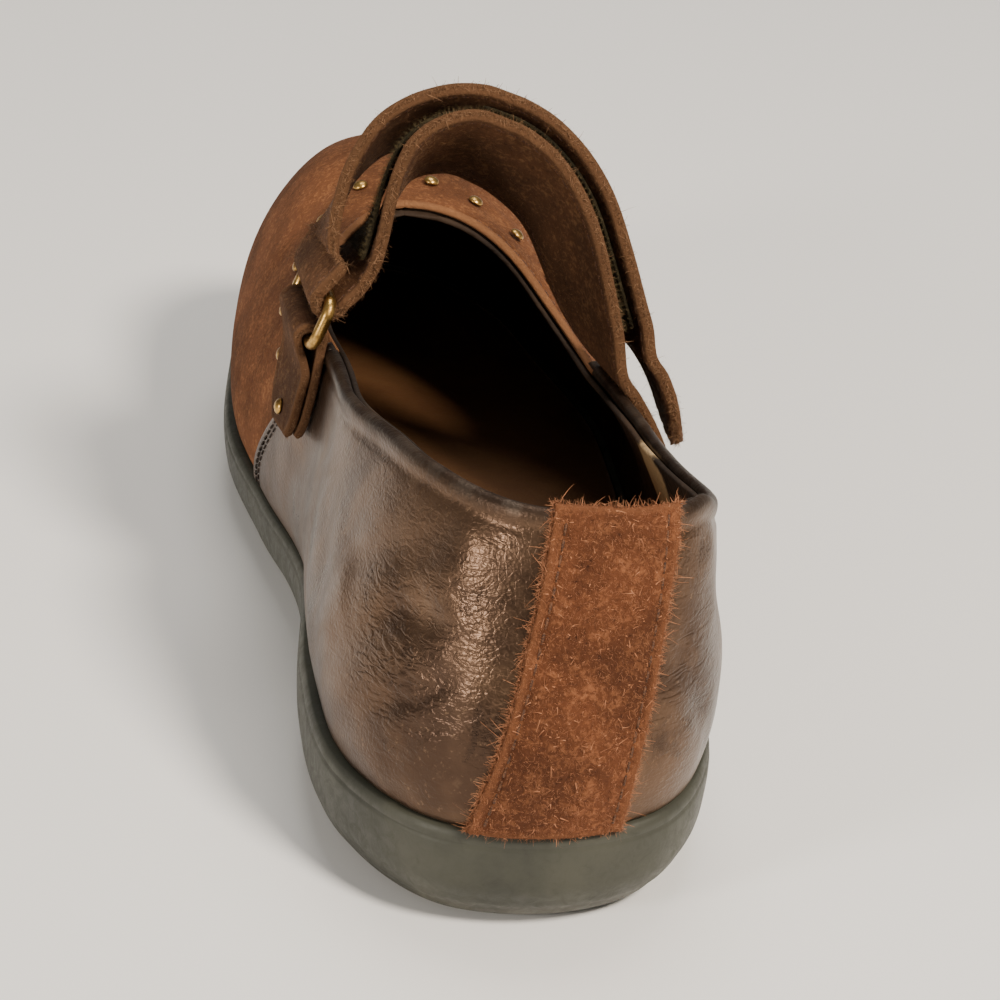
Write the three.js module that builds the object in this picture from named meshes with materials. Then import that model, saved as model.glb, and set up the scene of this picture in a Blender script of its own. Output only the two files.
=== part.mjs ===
// Mary jane shoe, right foot, in millimetres.
// X points to the outer (lateral) side, Y to the toe, Z up.
// The origin is under the middle of the heel, on the plane that the sole stands on.
import * as THREE from "three";

// Length and widths of the upper where it meets the sole
const shoeLength = 205;
const heelWidth = 55;
const waistWidth = 57;
const ballWidth = 71;
const heelSeat = 32; // from the back of the heel to the origin

// Sole
const heelWall = 18.1;
const foreWall = 13.5;
const toeSpring = 6;
const archRise = 1.6;
const soleLip = 1.6; // how far the sole's edge stands out past the upper
const soleTuck = 6.5; // how far its lower edge is drawn in under the foot
const soleSpread = 2; // how far it has spread on the medial side of the heel
const spreadTaper = 0.6; // share of the spread that is lost towards the edge
const spreadEnd = 0.42; // shares of the length
const springFrom = 0.73; // where the underside and then the upper's edge start to rise to the toe
const edgeSpringFrom = 0.7;
const springPower = 1.8;
const archFrom = 0.36; // the hollow under the waist, shares of the length
const archSpan = 0.2;
const wallFallFrom = 0.28; // where the side wall goes from the heel's height to the forefoot's
const wallFallSpan = 0.36;
const recessDepth = 3;
const recessInset = 2.7;

// Upper
const backHeight = 46.6; // topline above the sole's edge at the heel
const wall = 2;
const quarterLap = 0.8; // the quarters lie over the vamp by this much
const heelBulge = 1.6;
const bulgeHeight = 34;
const heelLean = 7.5; // how far the worn counter leans to the outer side
const leanPower = 1.5;
const throatAt = 0.685; // share of the length, as are the next five
const throatStart = 0.55;
const heelSpine = 0.2;
const toeSpine = 0.78;
const spineEase = 0.06;
const leanEnd = 0.33;
const bendEnd = 0.45;
const throatSquareness = 1.9;
const throatFootShare = 0.3; // where the columns that fan to the throat start, from the seam

// Insole and the gap left between pieces that touch
const insoleThickness = 3;
const seatGap = 0.3;
const curveGap = 0.42; // where a flat-sided piece lies along a rounded one

// Strip down the back of the heel
const stripWidth = 21;
const stripTopWidth = 17;
const stripFootSway = -1.5; // its middle to the outer side of the heel's
const stripTopSway = 0.8;
const stripBow = 1.2;
const stripThickness = 1.3;
const stripRise = 0.6; // above the topline

// Strap, its fastener, the ring and the ring's tab
const strapWidth = 22;
const strapThickness = 2;
const strapRise = 35.5; // of the arch above the line from quarter to ring
const strapAt = 0.42; // rear edge of the strap, share of the length
const strapAnchor = 12; // length stitched down on the quarter
const strapStand = 1.5; // length above the topline that still follows the quarter
const strapHang = 4; // of the upper layer below the topline
const strapTip = 9; // length over which the free end is rounded
const tipGap = 1.2; // between the free end and the layer below
const pileThickness = 0.7;
const hookThickness = 0.6;
const fastenerInset = 2.5;
const pileFrom = 0.041; // stretch of the arch under the pile, and next under the hooks
const pileTo = 0.888;
const hookFrom = 0.041;
const hookTo = 0.52;
const wireRadius = 1;
const ringHeight = 9.6;
const ringPlay = 0.8; // between the strap's edges and the ring's ends
const ringCorner = 2.4;
const ringLift = 0.6; // of the ring's lower bar above the topline
const ringLean = 0.42; // how far the ring leans in for each unit up
const tabThickness = 1.5;
const tabDrop = 17;
const tabWidth = 20;
const tabTipWidth = 9;
const tabHem = 5; // from the topline to where the tab lies flat
const tabTipBack = 3; // of the pointed end behind the middle of the strap

// Studs
const studRadius = 1.35;
const studHeight = 0.9;
const studHead = 0.5; // flat of the dome, share of the radius
const studShoulder = 0.9;
const studInset = 11.5; // outside the throat's edge on the ridge, and on each side
const lateralInset = 6.5;
const medialInset = 14;
const studPitch = 10.2;
const studLead = 3.7; // of the first lateral stud from the ridge
const rowEnd = 0.5;
const lateralStuds = 5;
const medialStuds = 5;
const tabStudRise = 3.5; // from the tab's lower end

// Tread
const treadMargin = 4;
const grooveDepth = 1.2;
const grooveWidth = 2.4;
const grooves = [0.215, 0.255, 0.295, 0.335, 0.575, 0.605, 0.715, 0.745, 0.775];
const plainStations = [0.17, 0.39, 0.44, 0.49, 0.535, 0.65, 0.685, 0.81];

// Half the footprint at a row of stations: at is a share of the length, of names the width,
// and medial and lateral are the shares of that width on each side of the axis.
const footprintRows = [
  { at: 0.035, of: heelWidth, medial: 0.3, lateral: 0.29 },
  { at: 0.115, of: heelWidth, medial: 0.485, lateral: 0.468 },
  { at: 0.25, of: heelWidth, medial: 0.515, lateral: 0.515 },
  { at: 0.41, of: waistWidth, medial: 0.45, lateral: 0.55 },
  { at: 0.56, of: ballWidth, medial: 0.41, lateral: 0.485 },
  { at: 0.69, of: ballWidth, medial: 0.45, lateral: 0.49 },
  { at: 0.8, of: ballWidth, medial: 0.42, lateral: 0.42 },
  { at: 0.9, of: ballWidth, medial: 0.35, lateral: 0.33 },
  { at: 0.965, of: ballWidth, medial: 0.22, lateral: 0.17 },
];
const heelBack = 0.012;
const toeTip = { at: 0.99, of: ballWidth, medial: 0.045 };

// Height of the last's ridge above the sole's edge, as a share of the back height, what each
// side adds to it behind the throat, and how full each side's section is: 2 is an ellipse.
const lastRows = [
  { at: 0.0, ridge: 1.545, medial: 0.0, lateral: 0.0, medialFull: 2.0, lateralFull: 2.0 },
  { at: 0.2, ridge: 1.48, medial: 0.0, lateral: 0.0, medialFull: 2.0, lateralFull: 2.0 },
  { at: 0.32, ridge: 1.4, medial: 0.17, lateral: -0.17, medialFull: 2.1, lateralFull: 2.0 },
  { at: 0.44, ridge: 1.23, medial: 0.245, lateral: -0.245, medialFull: 2.15, lateralFull: 2.0 },
  { at: 0.54, ridge: 1.04, medial: 0.17, lateral: -0.2, medialFull: 2.1, lateralFull: 1.95 },
  { at: 0.62, ridge: 0.947, medial: 0.064, lateral: -0.085, medialFull: 2.1, lateralFull: 1.9 },
  { at: 0.685, ridge: 0.942, medial: 0.0, lateral: 0.0, medialFull: 2.1, lateralFull: 1.95 },
  { at: 0.78, ridge: 0.95, medial: 0.0, lateral: 0.0, medialFull: 2.15, lateralFull: 2.05 },
  { at: 1.0, ridge: 0.91, medial: 0.0, lateral: 0.0, medialFull: 2.25, lateralFull: 2.25 },
];

// Height of the topline above the sole's edge, as shares of the back height
const toplineRows = [
  { at: 0.0, medial: 1.0, lateral: 1.0 },
  { at: 0.06, medial: 1.0, lateral: 0.97 },
  { at: 0.1, medial: 1.0, lateral: 0.9 },
  { at: 0.18, medial: 0.98, lateral: 0.81 },
  { at: 0.26, medial: 0.925, lateral: 0.735 },
  { at: 0.34, medial: 0.865, lateral: 0.67 },
  { at: 0.42, medial: 0.83, lateral: 0.632 },
  { at: 0.5, medial: 0.815, lateral: 0.582 },
  { at: 0.56, medial: 0.82, lateral: 0.567 },
  { at: 0.7, medial: 0.82, lateral: 0.62 },
];

// The seam between quarter and vamp: where it starts on the topline and ends at the sole
const seams = {
  medial: { top: 0.445, foot: 0.6 },
  lateral: { top: 0.535, foot: 0.65 },
};

// The strap's arch from the lateral topline to the ring. At is a share of the way across, rise a
// share of the strap's rise, apart the gap between its two layers, ahead the share of the strap's
// width that the rear edge lies forward, and flare and drop turn the width's direction.
const archRows = [
  { at: 0.0, rise: 0.0, apart: 3.7, ahead: 0.0, flare: -0.17, drop: 0.14 },
  { at: 0.041, rise: 0.225, apart: 3.3, ahead: 0.1, flare: -0.22, drop: 0.24 },
  { at: 0.069, rise: 0.39, apart: 2.9, ahead: 0.19, flare: -0.27, drop: 0.37 },
  { at: 0.11, rise: 0.59, apart: 2.6, ahead: 0.28, flare: -0.31, drop: 0.5 },
  { at: 0.171, rise: 0.775, apart: 2.6, ahead: 0.38, flare: -0.32, drop: 0.67 },
  { at: 0.266, rise: 0.915, apart: 2.6, ahead: 0.46, flare: -0.3, drop: 0.88 },
  { at: 0.388, rise: 0.99, apart: 2.6, ahead: 0.5, flare: -0.2, drop: 1.04 },
  { at: 0.52, rise: 1.0, apart: 2.6, ahead: 0.5, flare: -0.07, drop: 1.06 },
  { at: 0.652, rise: 0.925, apart: 3.0, ahead: 0.48, flare: 0.06, drop: 0.94 },
  { at: 0.76, rise: 0.785, apart: 4.2, ahead: 0.42, flare: 0.13, drop: 0.74 },
  { at: 0.823, rise: 0.58, apart: 5.6, ahead: 0.34, flare: 0.15, drop: 0.52 },
  { at: 0.854, rise: 0.38, apart: 6.0, ahead: 0.24, flare: 0.1, drop: 0.37 },
  { at: 0.888, rise: 0.205, apart: 5.2, ahead: 0.15, flare: 0.0, drop: 0.24 },
  { at: 0.94, rise: 0.08, apart: 3.2, ahead: 0.08, flare: -0.1, drop: 0.14 },
];

// The side wall of the sole from its lower edge up: up is a share of the wall's height, and out
// is a share of the lip or, where negative, of the tuck.
const soleWallRows = [
  { up: 0.0, out: -1.0 },
  { up: 0.1, out: -0.42 },
  { up: 0.26, out: -0.05 },
  { up: 0.5, out: 1.05 },
  { up: 0.8, out: 1.3 },
  { up: 0.95, out: 1.15 },
  { up: 1.0, out: 0.75 },
];

// How finely each form is divided
const upperRows = 9;
const heelColumns = 6;
const quarterColumns = 8;
const seamColumns = { medial: 3, lateral: 1 };
const throatColumns = 7;
const vampColumns = 4;
const toeColumns = 7;
const archSteps = 2;
const anchorSteps = 5;
const foldSteps = 8;
const tipSteps = 5;
const hangSteps = 2;
const tabSteps = 4;
const rowSteps = 60;
const outlineSteps = 12;
const wireSides = 8;
const cornerSteps = 5;
const studSides = 8;

// Colours, roughness and metalness
const finishes = {
  suede: { color: 0x6b3a20, roughness: 0.95, metalness: 0 },
  bronzeLeather: { color: 0x4a3a30, roughness: 0.42, metalness: 0.35 },
  rubber: { color: 0x3d4238, roughness: 0.7, metalness: 0 },
  board: { color: 0x8a6440, roughness: 0.8, metalness: 0 },
  pile: { color: 0x33301f, roughness: 1, metalness: 0 },
  brass: { color: 0xb08a45, roughness: 0.35, metalness: 1 },
};

const vec = (x, y, z) => new THREE.Vector3(x, y, z);
const mix = (a, b, share) => a + (b - a) * share;
const clamp = (value, low, high) => Math.min(high, Math.max(low, value));
const smooth = (value) => value * value * (3 - 2 * value);

// The value of one column of a table at a place between its rows, on a smooth curve that doesn't
// overshoot its rows
function readTable(rows, column, at) {
  const last = rows.length - 1;
  const place = clamp(at, rows[0].at, rows[last].at);
  let i = 0;
  while (i < last - 1 && rows[i + 1].at < place) i += 1;
  const steepness = (k) => {
    return (rows[k + 1][column] - rows[k][column]) / (rows[k + 1].at - rows[k].at);
  };
  const slope = (k) => {
    if (k === 0 || k === last) return steepness(Math.min(k, last - 1));
    const before = steepness(k - 1);
    const after = steepness(k);
    return before * after > 0 ? (2 * before * after) / (before + after) : 0;
  };
  const span = rows[i + 1].at - rows[i].at;
  const s = (place - rows[i].at) / span;
  const a = rows[i][column];
  const b = rows[i + 1][column];
  const riseA = slope(i) * span;
  const riseB = slope(i + 1) * span;
  const bend = 2 * (a - b) + riseA + riseB;
  const sweep = 3 * (b - a) - 2 * riseA - riseB;
  return ((bend * s + sweep) * s + riseA) * s + a;
}

// The footprint as a closed smooth outline, Y measured from the back of the heel
const outlinePoints = [
  vec(0, heelBack * shoeLength, 0),
  ...footprintRows.map((row) => vec(-row.medial * row.of, row.at * shoeLength, 0)),
  vec(-toeTip.medial * toeTip.of, toeTip.at * shoeLength, 0),
  ...footprintRows.map((row) => vec(row.lateral * row.of, row.at * shoeLength, 0)).reverse(),
];
const outline = new THREE.CatmullRomCurve3(outlinePoints, true, "centripetal").getPoints(
  outlinePoints.length * outlineSteps,
);

// Where a ray from a point inside the footprint leaves it
function outlineHit(from, direction) {
  let best = 0;
  for (let i = 0; i + 1 < outline.length; i += 1) {
    const a = outline[i];
    const edge = outline[i + 1].clone().sub(a);
    const cross = direction.x * edge.y - direction.y * edge.x;
    if (Math.abs(cross) < 1e-9) continue;
    const gap = a.clone().sub(from);
    const along = (gap.x * edge.y - gap.y * edge.x) / cross;
    const share = (gap.x * direction.y - gap.y * direction.x) / cross;
    if (share >= -1e-6 && share <= 1 + 1e-6) best = Math.max(best, along);
  }
  return vec(from.x + direction.x * best, from.y + direction.y * best, 0);
}

// The spine runs down the middle of the last, and its ends ease into one point each
const spineStart = heelSpine * shoeLength;
const spineEnd = toeSpine * shoeLength;
const ease = spineEase * shoeLength;
const spineBend = 4; // how far the ridge lies to the medial side

function spineY(y) {
  const fromEnd = y - (spineEnd - ease);
  if (fromEnd > 0) {
    const part = Math.min(fromEnd, 2 * ease);
    return spineEnd - ease + part - (part * part) / (4 * ease);
  }
  const fromStart = spineStart + ease - y;
  if (fromStart > 0) {
    const part = Math.min(fromStart, 2 * ease);
    return spineStart + ease - part + (part * part) / (4 * ease);
  }
  return y;
}

function spineAt(y) {
  const share = clamp((y - spineStart) / (bendEnd * shoeLength - spineStart), 0, 1);
  return vec(-spineBend * smooth(share), y, 0);
}

// A station is a place along one side, from 0 at the back of the heel to 1 at the tip of the toe.
// Its foot is the point on the footprint, and its spine the point that the wall leans towards.
const heelShare = 0.16;
const toeShare = 0.84;
const fanBack = spineStart - ease;
const fanFront = spineEnd + ease;
const heelPole = spineAt(spineStart);
const toePole = spineAt(spineEnd);

function crossHit(side, y) {
  return outlineHit(vec(0, y, 0), vec(side, 0, 0));
}

function fanAngle(side, y, pole) {
  const foot = crossHit(side, y);
  return Math.atan2(Math.abs(foot.x - pole.x), Math.abs(foot.y - pole.y));
}

const fanAngles = {
  "-1": { heel: fanAngle(-1, fanBack, heelPole), toe: fanAngle(-1, fanFront, toePole) },
  1: { heel: fanAngle(1, fanBack, heelPole), toe: fanAngle(1, fanFront, toePole) },
};

function station(side, u) {
  if (u < heelShare) {
    const angle = (fanAngles[side].heel * u) / heelShare;
    const direction = vec(side * Math.sin(angle), -Math.cos(angle), 0);
    return { foot: outlineHit(heelPole, direction), spine: heelPole };
  }
  if (u > toeShare) {
    const angle = (fanAngles[side].toe * (1 - u)) / (1 - toeShare);
    const direction = vec(side * Math.sin(angle), Math.cos(angle), 0);
    return { foot: outlineHit(toePole, direction), spine: toePole };
  }
  const y = mix(fanBack, fanFront, (u - heelShare) / (toeShare - heelShare));
  return { foot: crossHit(side, y), spine: spineAt(spineY(y)) };
}

// The station whose foot lies at a share of the length, on the straight part of a side
function stationAt(share) {
  const y = share * shoeLength;
  return mix(heelShare, toeShare, (y - fanBack) / (fanFront - fanBack));
}

// Heights of the sole: its rise at the toe, its underside, and the edge that the upper stands on
function toeRise(share, from) {
  return toeSpring * Math.pow(Math.max((share - from) / (1 - from), 0), springPower);
}

function undersideZ(y) {
  const share = y / shoeLength;
  const arch = clamp((share - archFrom) / archSpan, 0, 1);
  return toeRise(share, springFrom) + archRise * Math.pow(Math.sin(Math.PI * arch), 2);
}

function edgeZ(y) {
  const share = y / shoeLength;
  const forward = smooth(clamp((share - wallFallFrom) / wallFallSpan, 0, 1));
  return mix(heelWall, foreWall, forward) + toeRise(share, edgeSpringFrom);
}

// The same by one number, positive on the lateral and negative on the medial side
function stationOf(w) {
  const turn = Math.abs(w) > 1 ? Math.sign(w) * (Math.abs(w) - 2) : w;
  const side = turn < 0 ? -1 : 1;
  return { side, ...station(side, Math.abs(turn)) };
}

// The bulge's curve is fullest at a third of its height, and this makes it 1 there
const swellScale = 27 / 4;
const highestLift = 1.2;

const sideName = (side) => (side < 0 ? "medial" : "lateral");

function ridgeHeight(y, name) {
  const at = y / shoeLength;
  return (readTable(lastRows, "ridge", at) + readTable(lastRows, name, at)) * backHeight;
}

// A point of the last: w is the station, positive on the lateral and negative on the medial side,
// and t runs from 0 at the sole's edge to 1 on the ridge.
function lastPoint(w, t) {
  const { side, foot, spine } = stationOf(w);
  const name = sideName(side);
  const share = foot.y / shoeLength;
  const height = ridgeHeight(spine.y, name);
  const full = readTable(lastRows, name + "Full", share);
  const angle = (clamp(t, 0, 1) * Math.PI) / 2;
  const inward = Math.pow(Math.max(Math.cos(angle), 0), 2 / full);
  const upward = Math.pow(Math.sin(angle), 2 / full);
  const base = edgeZ(foot.y);
  const ridge = edgeZ(spine.y) + height;
  const out = foot.clone().sub(spine);
  const point = spine.clone().addScaledVector(out, inward);
  point.z = mix(base, ridge, upward);
  const above = (point.z - base) / bulgeHeight;
  if (above < 1) {
    const swell = swellScale * above * Math.pow(1 - above, 2) * heelBulge;
    point.addScaledVector(out.normalize(), swell);
  }
  const fade = 1 - smooth(clamp(point.y / (leanEnd * shoeLength), 0, 1));
  const lift = clamp((point.z - base) / backHeight, 0, highestLift);
  point.x += heelLean * fade * Math.pow(lift, leanPower);
  return point;
}

// The outward direction of the last at a point
function lastNormal(w, t) {
  const step = 0.004;
  if (t > 1 - step) {
    const y = station(w < 0 ? -1 : 1, Math.abs(w)).spine.y;
    const ridge = (at) => edgeZ(at) + ridgeHeight(at, "medial");
    return vec(0, ridge(y - 1) - ridge(y + 1), 2).normalize();
  }
  const around = lastPoint(w + step, t).sub(lastPoint(w - step, t));
  const up = lastPoint(w, Math.min(t + step, 1)).sub(lastPoint(w, Math.max(t - step, 0)));
  return around.cross(up).normalize();
}

const offLast = (w, t, distance) => lastPoint(w, t).addScaledVector(lastNormal(w, t), distance);

// The share t at which a station reaches a height above the sole's edge
function shareAtHeight(w, height) {
  let low = 0;
  let high = 1;
  const base = lastPoint(w, 0).z;
  for (let i = 0; i < 22; i += 1) {
    const middle = (low + high) / 2;
    if (lastPoint(w, middle).z - base < height) low = middle;
    else high = middle;
  }
  return low;
}

// The opening's edge: the topline, and the rounded throat that closes on the ridge. Grow moves
// the edge outwards, for the row of studs.
function rimShare(w, grow = 0) {
  const side = w < 0 ? -1 : 1;
  const y = station(side, Math.abs(w)).foot.y;
  const share = y / shoeLength;
  const height = readTable(toplineRows, sideName(side), share) * backHeight;
  const open = shareAtHeight(w, height - grow);
  const start = throatStart * shoeLength;
  const apex = throatAt * shoeLength + grow;
  const along = clamp((y - start) / (apex - start), 0, 1);
  const closing = Math.max(1 - Math.pow(along, throatSquareness), 0);
  const reach = Math.cos((open * Math.PI) / 2) * Math.pow(closing, 1 / throatSquareness);
  return (Math.acos(clamp(reach, 0, 1)) * 2) / Math.PI;
}

// A closed skin made of points and faces
class Skin {
  constructor() {
    this.points = [];
    this.faces = [];
  }
  add(point) {
    this.points.push(point.x, point.y - heelSeat, point.z);
    return this.points.length / 3 - 1;
  }
  triangle(a, b, c) {
    if (a !== b && b !== c && c !== a) this.faces.push(a, b, c);
  }
  quad(a, b, c, d) {
    this.triangle(a, b, c);
    this.triangle(a, c, d);
  }
  // Joins closed loops of points, each to the next
  join(loops) {
    for (let i = 0; i + 1 < loops.length; i += 1) {
      const a = loops[i];
      const b = loops[i + 1];
      a.forEach((point, k) => {
        const next = (k + 1) % a.length;
        this.quad(point, a[next], b[next], b[k]);
      });
    }
  }
  // Closes a loop with strips across it. The first strip starts at one point, or at an edge.
  cap(loop, fromEdge, reverse) {
    const count = loop.length;
    const lead = fromEdge ? 1 : 0;
    for (let k = 0; k < count / 2 - lead; k += 1) {
      const far = (count - lead - k) % count;
      const strip = [loop[k], loop[k + 1], loop[count - lead - k - 1], loop[far]];
      if (reverse) strip.reverse();
      this.quad(...strip);
    }
  }
  place(index) {
    return new THREE.Vector3().fromArray(this.points, index * 3);
  }
  geometry() {
    let volume = 0;
    for (let i = 0; i < this.faces.length; i += 3) {
      const [a, b, c] = this.faces.slice(i, i + 3).map((index) => this.place(index));
      volume += a.dot(b.cross(c));
    }
    if (volume < 0) this.faces.reverse();
    const made = new THREE.BufferGeometry();
    made.setAttribute("position", new THREE.Float32BufferAttribute(this.points, 3));
    made.setIndex(this.faces);
    made.computeVertexNormals();
    return made;
  }
}

// A band through frames, each a row of places across it with a point and a normal
function band(frames, thickness) {
  const skin = new Skin();
  const loops = frames.map((places) => {
    const corner = (place, way) => {
      return skin.add(place.point.clone().addScaledVector(place.normal, (way * thickness) / 2));
    };
    const under = places.map((place) => corner(place, -1));
    const over = places.map((place) => corner(place, 1)).reverse();
    return [...under, ...over];
  });
  skin.join(loops);
  skin.cap(loops[0], true, true);
  skin.cap(loops[loops.length - 1], true, false);
  return skin;
}

const shoe = new THREE.Group();

function addPiece(name, skinOrGeometry, finish) {
  const geometry = skinOrGeometry instanceof Skin ? skinOrGeometry.geometry() : skinOrGeometry;
  const mesh = new THREE.Mesh(geometry, new THREE.MeshStandardMaterial(finish));
  mesh.name = name;
  shoe.add(mesh);
  return mesh;
}

// Columns of the upper along one side, from heel to toe. Each has a station at its foot and one
// at its top, which differ where the quarter's seam and the throat's curve slant them.
function upperColumns(side) {
  const seam = seams[sideName(side)];
  const seamTop = stationAt(seam.top);
  const seamFoot = stationAt(seam.foot);
  const columns = [];
  const span = (count, foot, top, lifted, first = 1) => {
    for (let i = first; i <= count; i += 1) {
      const s = i / count;
      columns.push({ side, foot: foot(s), top: top(s), lift: lifted ? quarterLap : 0 });
    }
  };
  const footJoint = stationAt(throatAt);
  const startTop = stationAt(Math.max(throatStart, seam.top));
  const startFoot = mix(seamFoot, footJoint, throatFootShare);
  span(heelColumns, (s) => s * heelShare, (s) => s * heelShare, true, 0);
  span(quarterColumns, (s) => mix(heelShare, seamFoot, s), (s) => mix(heelShare, seamTop, s), true);
  const mid = seamColumns[sideName(side)];
  span(mid, (s) => mix(seamFoot, startFoot, s), (s) => mix(seamTop, startTop, s), false, 0);
  const arc = (s) => mix(startTop, footJoint, Math.sin((s * Math.PI) / 2));
  span(throatColumns, (s) => mix(startFoot, footJoint, s), arc, false);
  columns[columns.length - 1].apex = true;
  const ahead = (s) => mix(footJoint, toeShare, s);
  const round = (s) => mix(toeShare, 1, s);
  span(vampColumns, ahead, ahead, false);
  span(toeColumns, round, round, false);
  return columns;
}

// The upper: one wall, open at the collar, the throat and underneath
function buildUpper() {
  const skin = new Skin();
  const lateral = upperColumns(1);
  const medial = upperColumns(-1);
  const apexOf = (columns) => columns.findIndex((column) => column.apex);
  const offset = apexOf(lateral) - apexOf(medial);
  lateral.forEach((column, i) => (column.index = i));
  medial.forEach((column, i) => (column.index = i + offset));
  const apex = apexOf(lateral);
  const ring = [...lateral, ...medial.slice(1, -1).reverse()];
  const pole = { outer: null, inner: null };
  const ridge = new Map();

  for (const column of ring) {
    column.outer = [];
    column.inner = [];
    for (let j = 0; j <= upperRows; j += 1) {
      const v = j / upperRows;
      const w = column.side * mix(column.foot, column.top, v);
      const t = v * (column.index >= apex ? 1 : rimShare(w));
      const closed = column.index >= apex && j === upperRows;
      const atPole = closed && Math.abs(w) > toeShare - 1e-9;
      const key = atPole ? "pole" : column.index;
      if (closed && ridge.has(key)) {
        column.outer.push(ridge.get(key).outer);
        column.inner.push(ridge.get(key).inner);
        continue;
      }
      const outer = offLast(w, t, column.lift);
      const inner = offLast(w, t, -wall);
      outer.z = Math.max(outer.z, lastPoint(w, 0).z + seatGap);
      inner.z = j === 0 ? outer.z : inner.z;
      const pair = { outer: skin.add(outer), inner: skin.add(inner) };
      column.outer.push(pair.outer);
      column.inner.push(pair.inner);
      if (closed) ridge.set(key, pair);
    }
  }
  // The step of the seam shares one inner column
  ring.forEach((column, i) => {
    const next = ring[(i + 1) % ring.length];
    const stepped = column.foot === next.foot && column.top === next.top;
    if (stepped) next.inner = column.inner;
  });

  ring.forEach((column, i) => {
    const next = ring[(i + 1) % ring.length];
    const { outer, inner } = column;
    for (let j = 0; j < upperRows; j += 1) {
      skin.quad(outer[j], next.outer[j], next.outer[j + 1], outer[j + 1]);
      skin.quad(inner[j + 1], next.inner[j + 1], next.inner[j], inner[j]);
    }
    skin.quad(inner[0], next.inner[0], next.outer[0], outer[0]);
    if (column.index > apex || next.index > apex) return;
    const top = upperRows;
    skin.quad(outer[top], next.outer[top], next.inner[top], inner[top]);
  });
  return skin;
}

// How far the worn sole has spread at a station: most on the medial side of the heel
function spreadAt(w) {
  const share = clamp(-w / stationAt(spreadEnd), 0, 1);
  return soleSpread * Math.pow(Math.sin(Math.PI * share), 2);
}

// The edge of the footprint at a station, moved outwards, at a height
function edgePoint(w, out, z) {
  const step = 0.004;
  const foot = stationOf(w).foot;
  const along = stationOf(w + step).foot.sub(stationOf(w - step).foot);
  const point = foot.clone().add(vec(along.y, -along.x, 0).normalize().multiplyScalar(out));
  point.z = z(foot.y);
  return point;
}

// Stations along one side of the sole, and whether the strip after each is a groove
function soleStations() {
  const stations = [];
  for (let i = 0; i < heelColumns; i += 1) stations.push({ u: (heelShare * i) / heelColumns });
  const half = grooveWidth / shoeLength / 2;
  const straight = [
    ...plainStations.map((share) => ({ u: stationAt(share) })),
    ...grooves.map((share) => ({ u: stationAt(share - half), groove: true })),
    ...grooves.map((share) => ({ u: stationAt(share + half) })),
  ];
  straight.sort((a, b) => a.u - b.u);
  stations.push({ u: heelShare }, ...straight);
  for (let i = 0; i <= toeColumns; i += 1) {
    stations.push({ u: mix(toeShare, 1, i / toeColumns) });
  }
  return stations;
}

// A closed loop round the foot: heel, lateral side, toe, medial side
function soleLoop(skin, stations, out, z, spread = 0) {
  const lateral = stations.map(({ u }) => skin.add(edgePoint(u, out, z)));
  const medial = stations.slice(1, -1).map(({ u }) => {
    return skin.add(edgePoint(-u, out + spread * spreadAt(-u), z));
  });
  return [...lateral, ...medial.reverse()];
}

// The tread: strips across the sole, some of them sunk as grooves
function treadCap(skin, loop, stations) {
  const count = loop.length;
  stations.slice(0, -1).forEach(({ groove }, k) => {
    const corners = [loop[k], loop[k + 1], loop[count - k - 1], loop[(count - k) % count]];
    if (!groove) {
      skin.quad(...corners);
      return;
    }
    const sunk = corners.map((corner) => {
      const point = skin.place(corner);
      return skin.add(vec(point.x, point.y + heelSeat, point.z + grooveDepth));
    });
    skin.quad(...sunk);
    corners.forEach((corner, i) => {
      const next = (i + 1) % corners.length;
      skin.quad(corner, corners[next], sunk[next], sunk[i]);
    });
  });
}

function buildOutsole() {
  const skin = new Skin();
  const stations = soleStations();
  const loop = (out, z, spread) => soleLoop(skin, stations, out, z, spread);
  const wallLoops = soleWallRows.map(({ up, out }) => {
    const reach = out < 0 ? out * soleTuck : out * soleLip;
    return loop(reach, (y) => mix(undersideZ(y), edgeZ(y), up), 1 - spreadTaper * up);
  });
  const loops = [
    loop(-recessInset, (y) => edgeZ(y) - recessDepth),
    loop(-recessInset, edgeZ),
    ...wallLoops.reverse(),
    loop(-soleTuck - treadMargin, undersideZ, 1),
  ];
  skin.join(loops);
  skin.cap(loops[0], false, true);
  treadCap(skin, loops[loops.length - 1], stations);
  return skin;
}

function buildInsole() {
  const skin = new Skin();
  const stations = soleStations().filter(({ groove }) => !groove);
  const inset = -recessInset - seatGap;
  const underside = (y) => edgeZ(y) - recessDepth + seatGap;
  const loops = [
    soleLoop(skin, stations, inset, underside),
    soleLoop(skin, stations, inset, (y) => underside(y) + insoleThickness),
  ];
  skin.join(loops);
  skin.cap(loops[0], false, true);
  skin.cap(loops[1], false, false);
  return skin;
}

// The strip down the back, over the quarters
function stationAcross(x, t) {
  const middle = lastPoint(0, t).x;
  let low = 0;
  let high = heelShare;
  for (let i = 0; i < 20; i += 1) {
    const guess = (low + high) / 2;
    if (Math.abs(lastPoint(Math.sign(x) * guess, t).x - middle) < Math.abs(x)) low = guess;
    else high = guess;
  }
  return Math.sign(x) * low;
}

function buildHeelStrip() {
  const lift = quarterLap + curveGap + stripThickness / 2;
  const across = [-1, -0.6, -0.2, 0.2, 0.6, 1];
  const frames = [];
  for (let j = 0; j <= upperRows; j += 1) {
    const v = j / upperRows;
    const half = mix(stripWidth, stripTopWidth, v) / 2;
    const sway = mix(stripFootSway, stripTopSway, v) + stripBow * Math.sin(Math.PI * v);
    const places = across.map((share) => {
      const w = stationAcross(sway + share * half, v * rimShare(0));
      const low = shareAtHeight(w, 2 * seatGap);
      const t = mix(low, rimShare(w, -stripRise), v);
      return { point: offLast(w, t, lift), normal: lastNormal(w, t) };
    });
    frames.push(places);
  }
  return band(frames, stripThickness);
}

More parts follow.
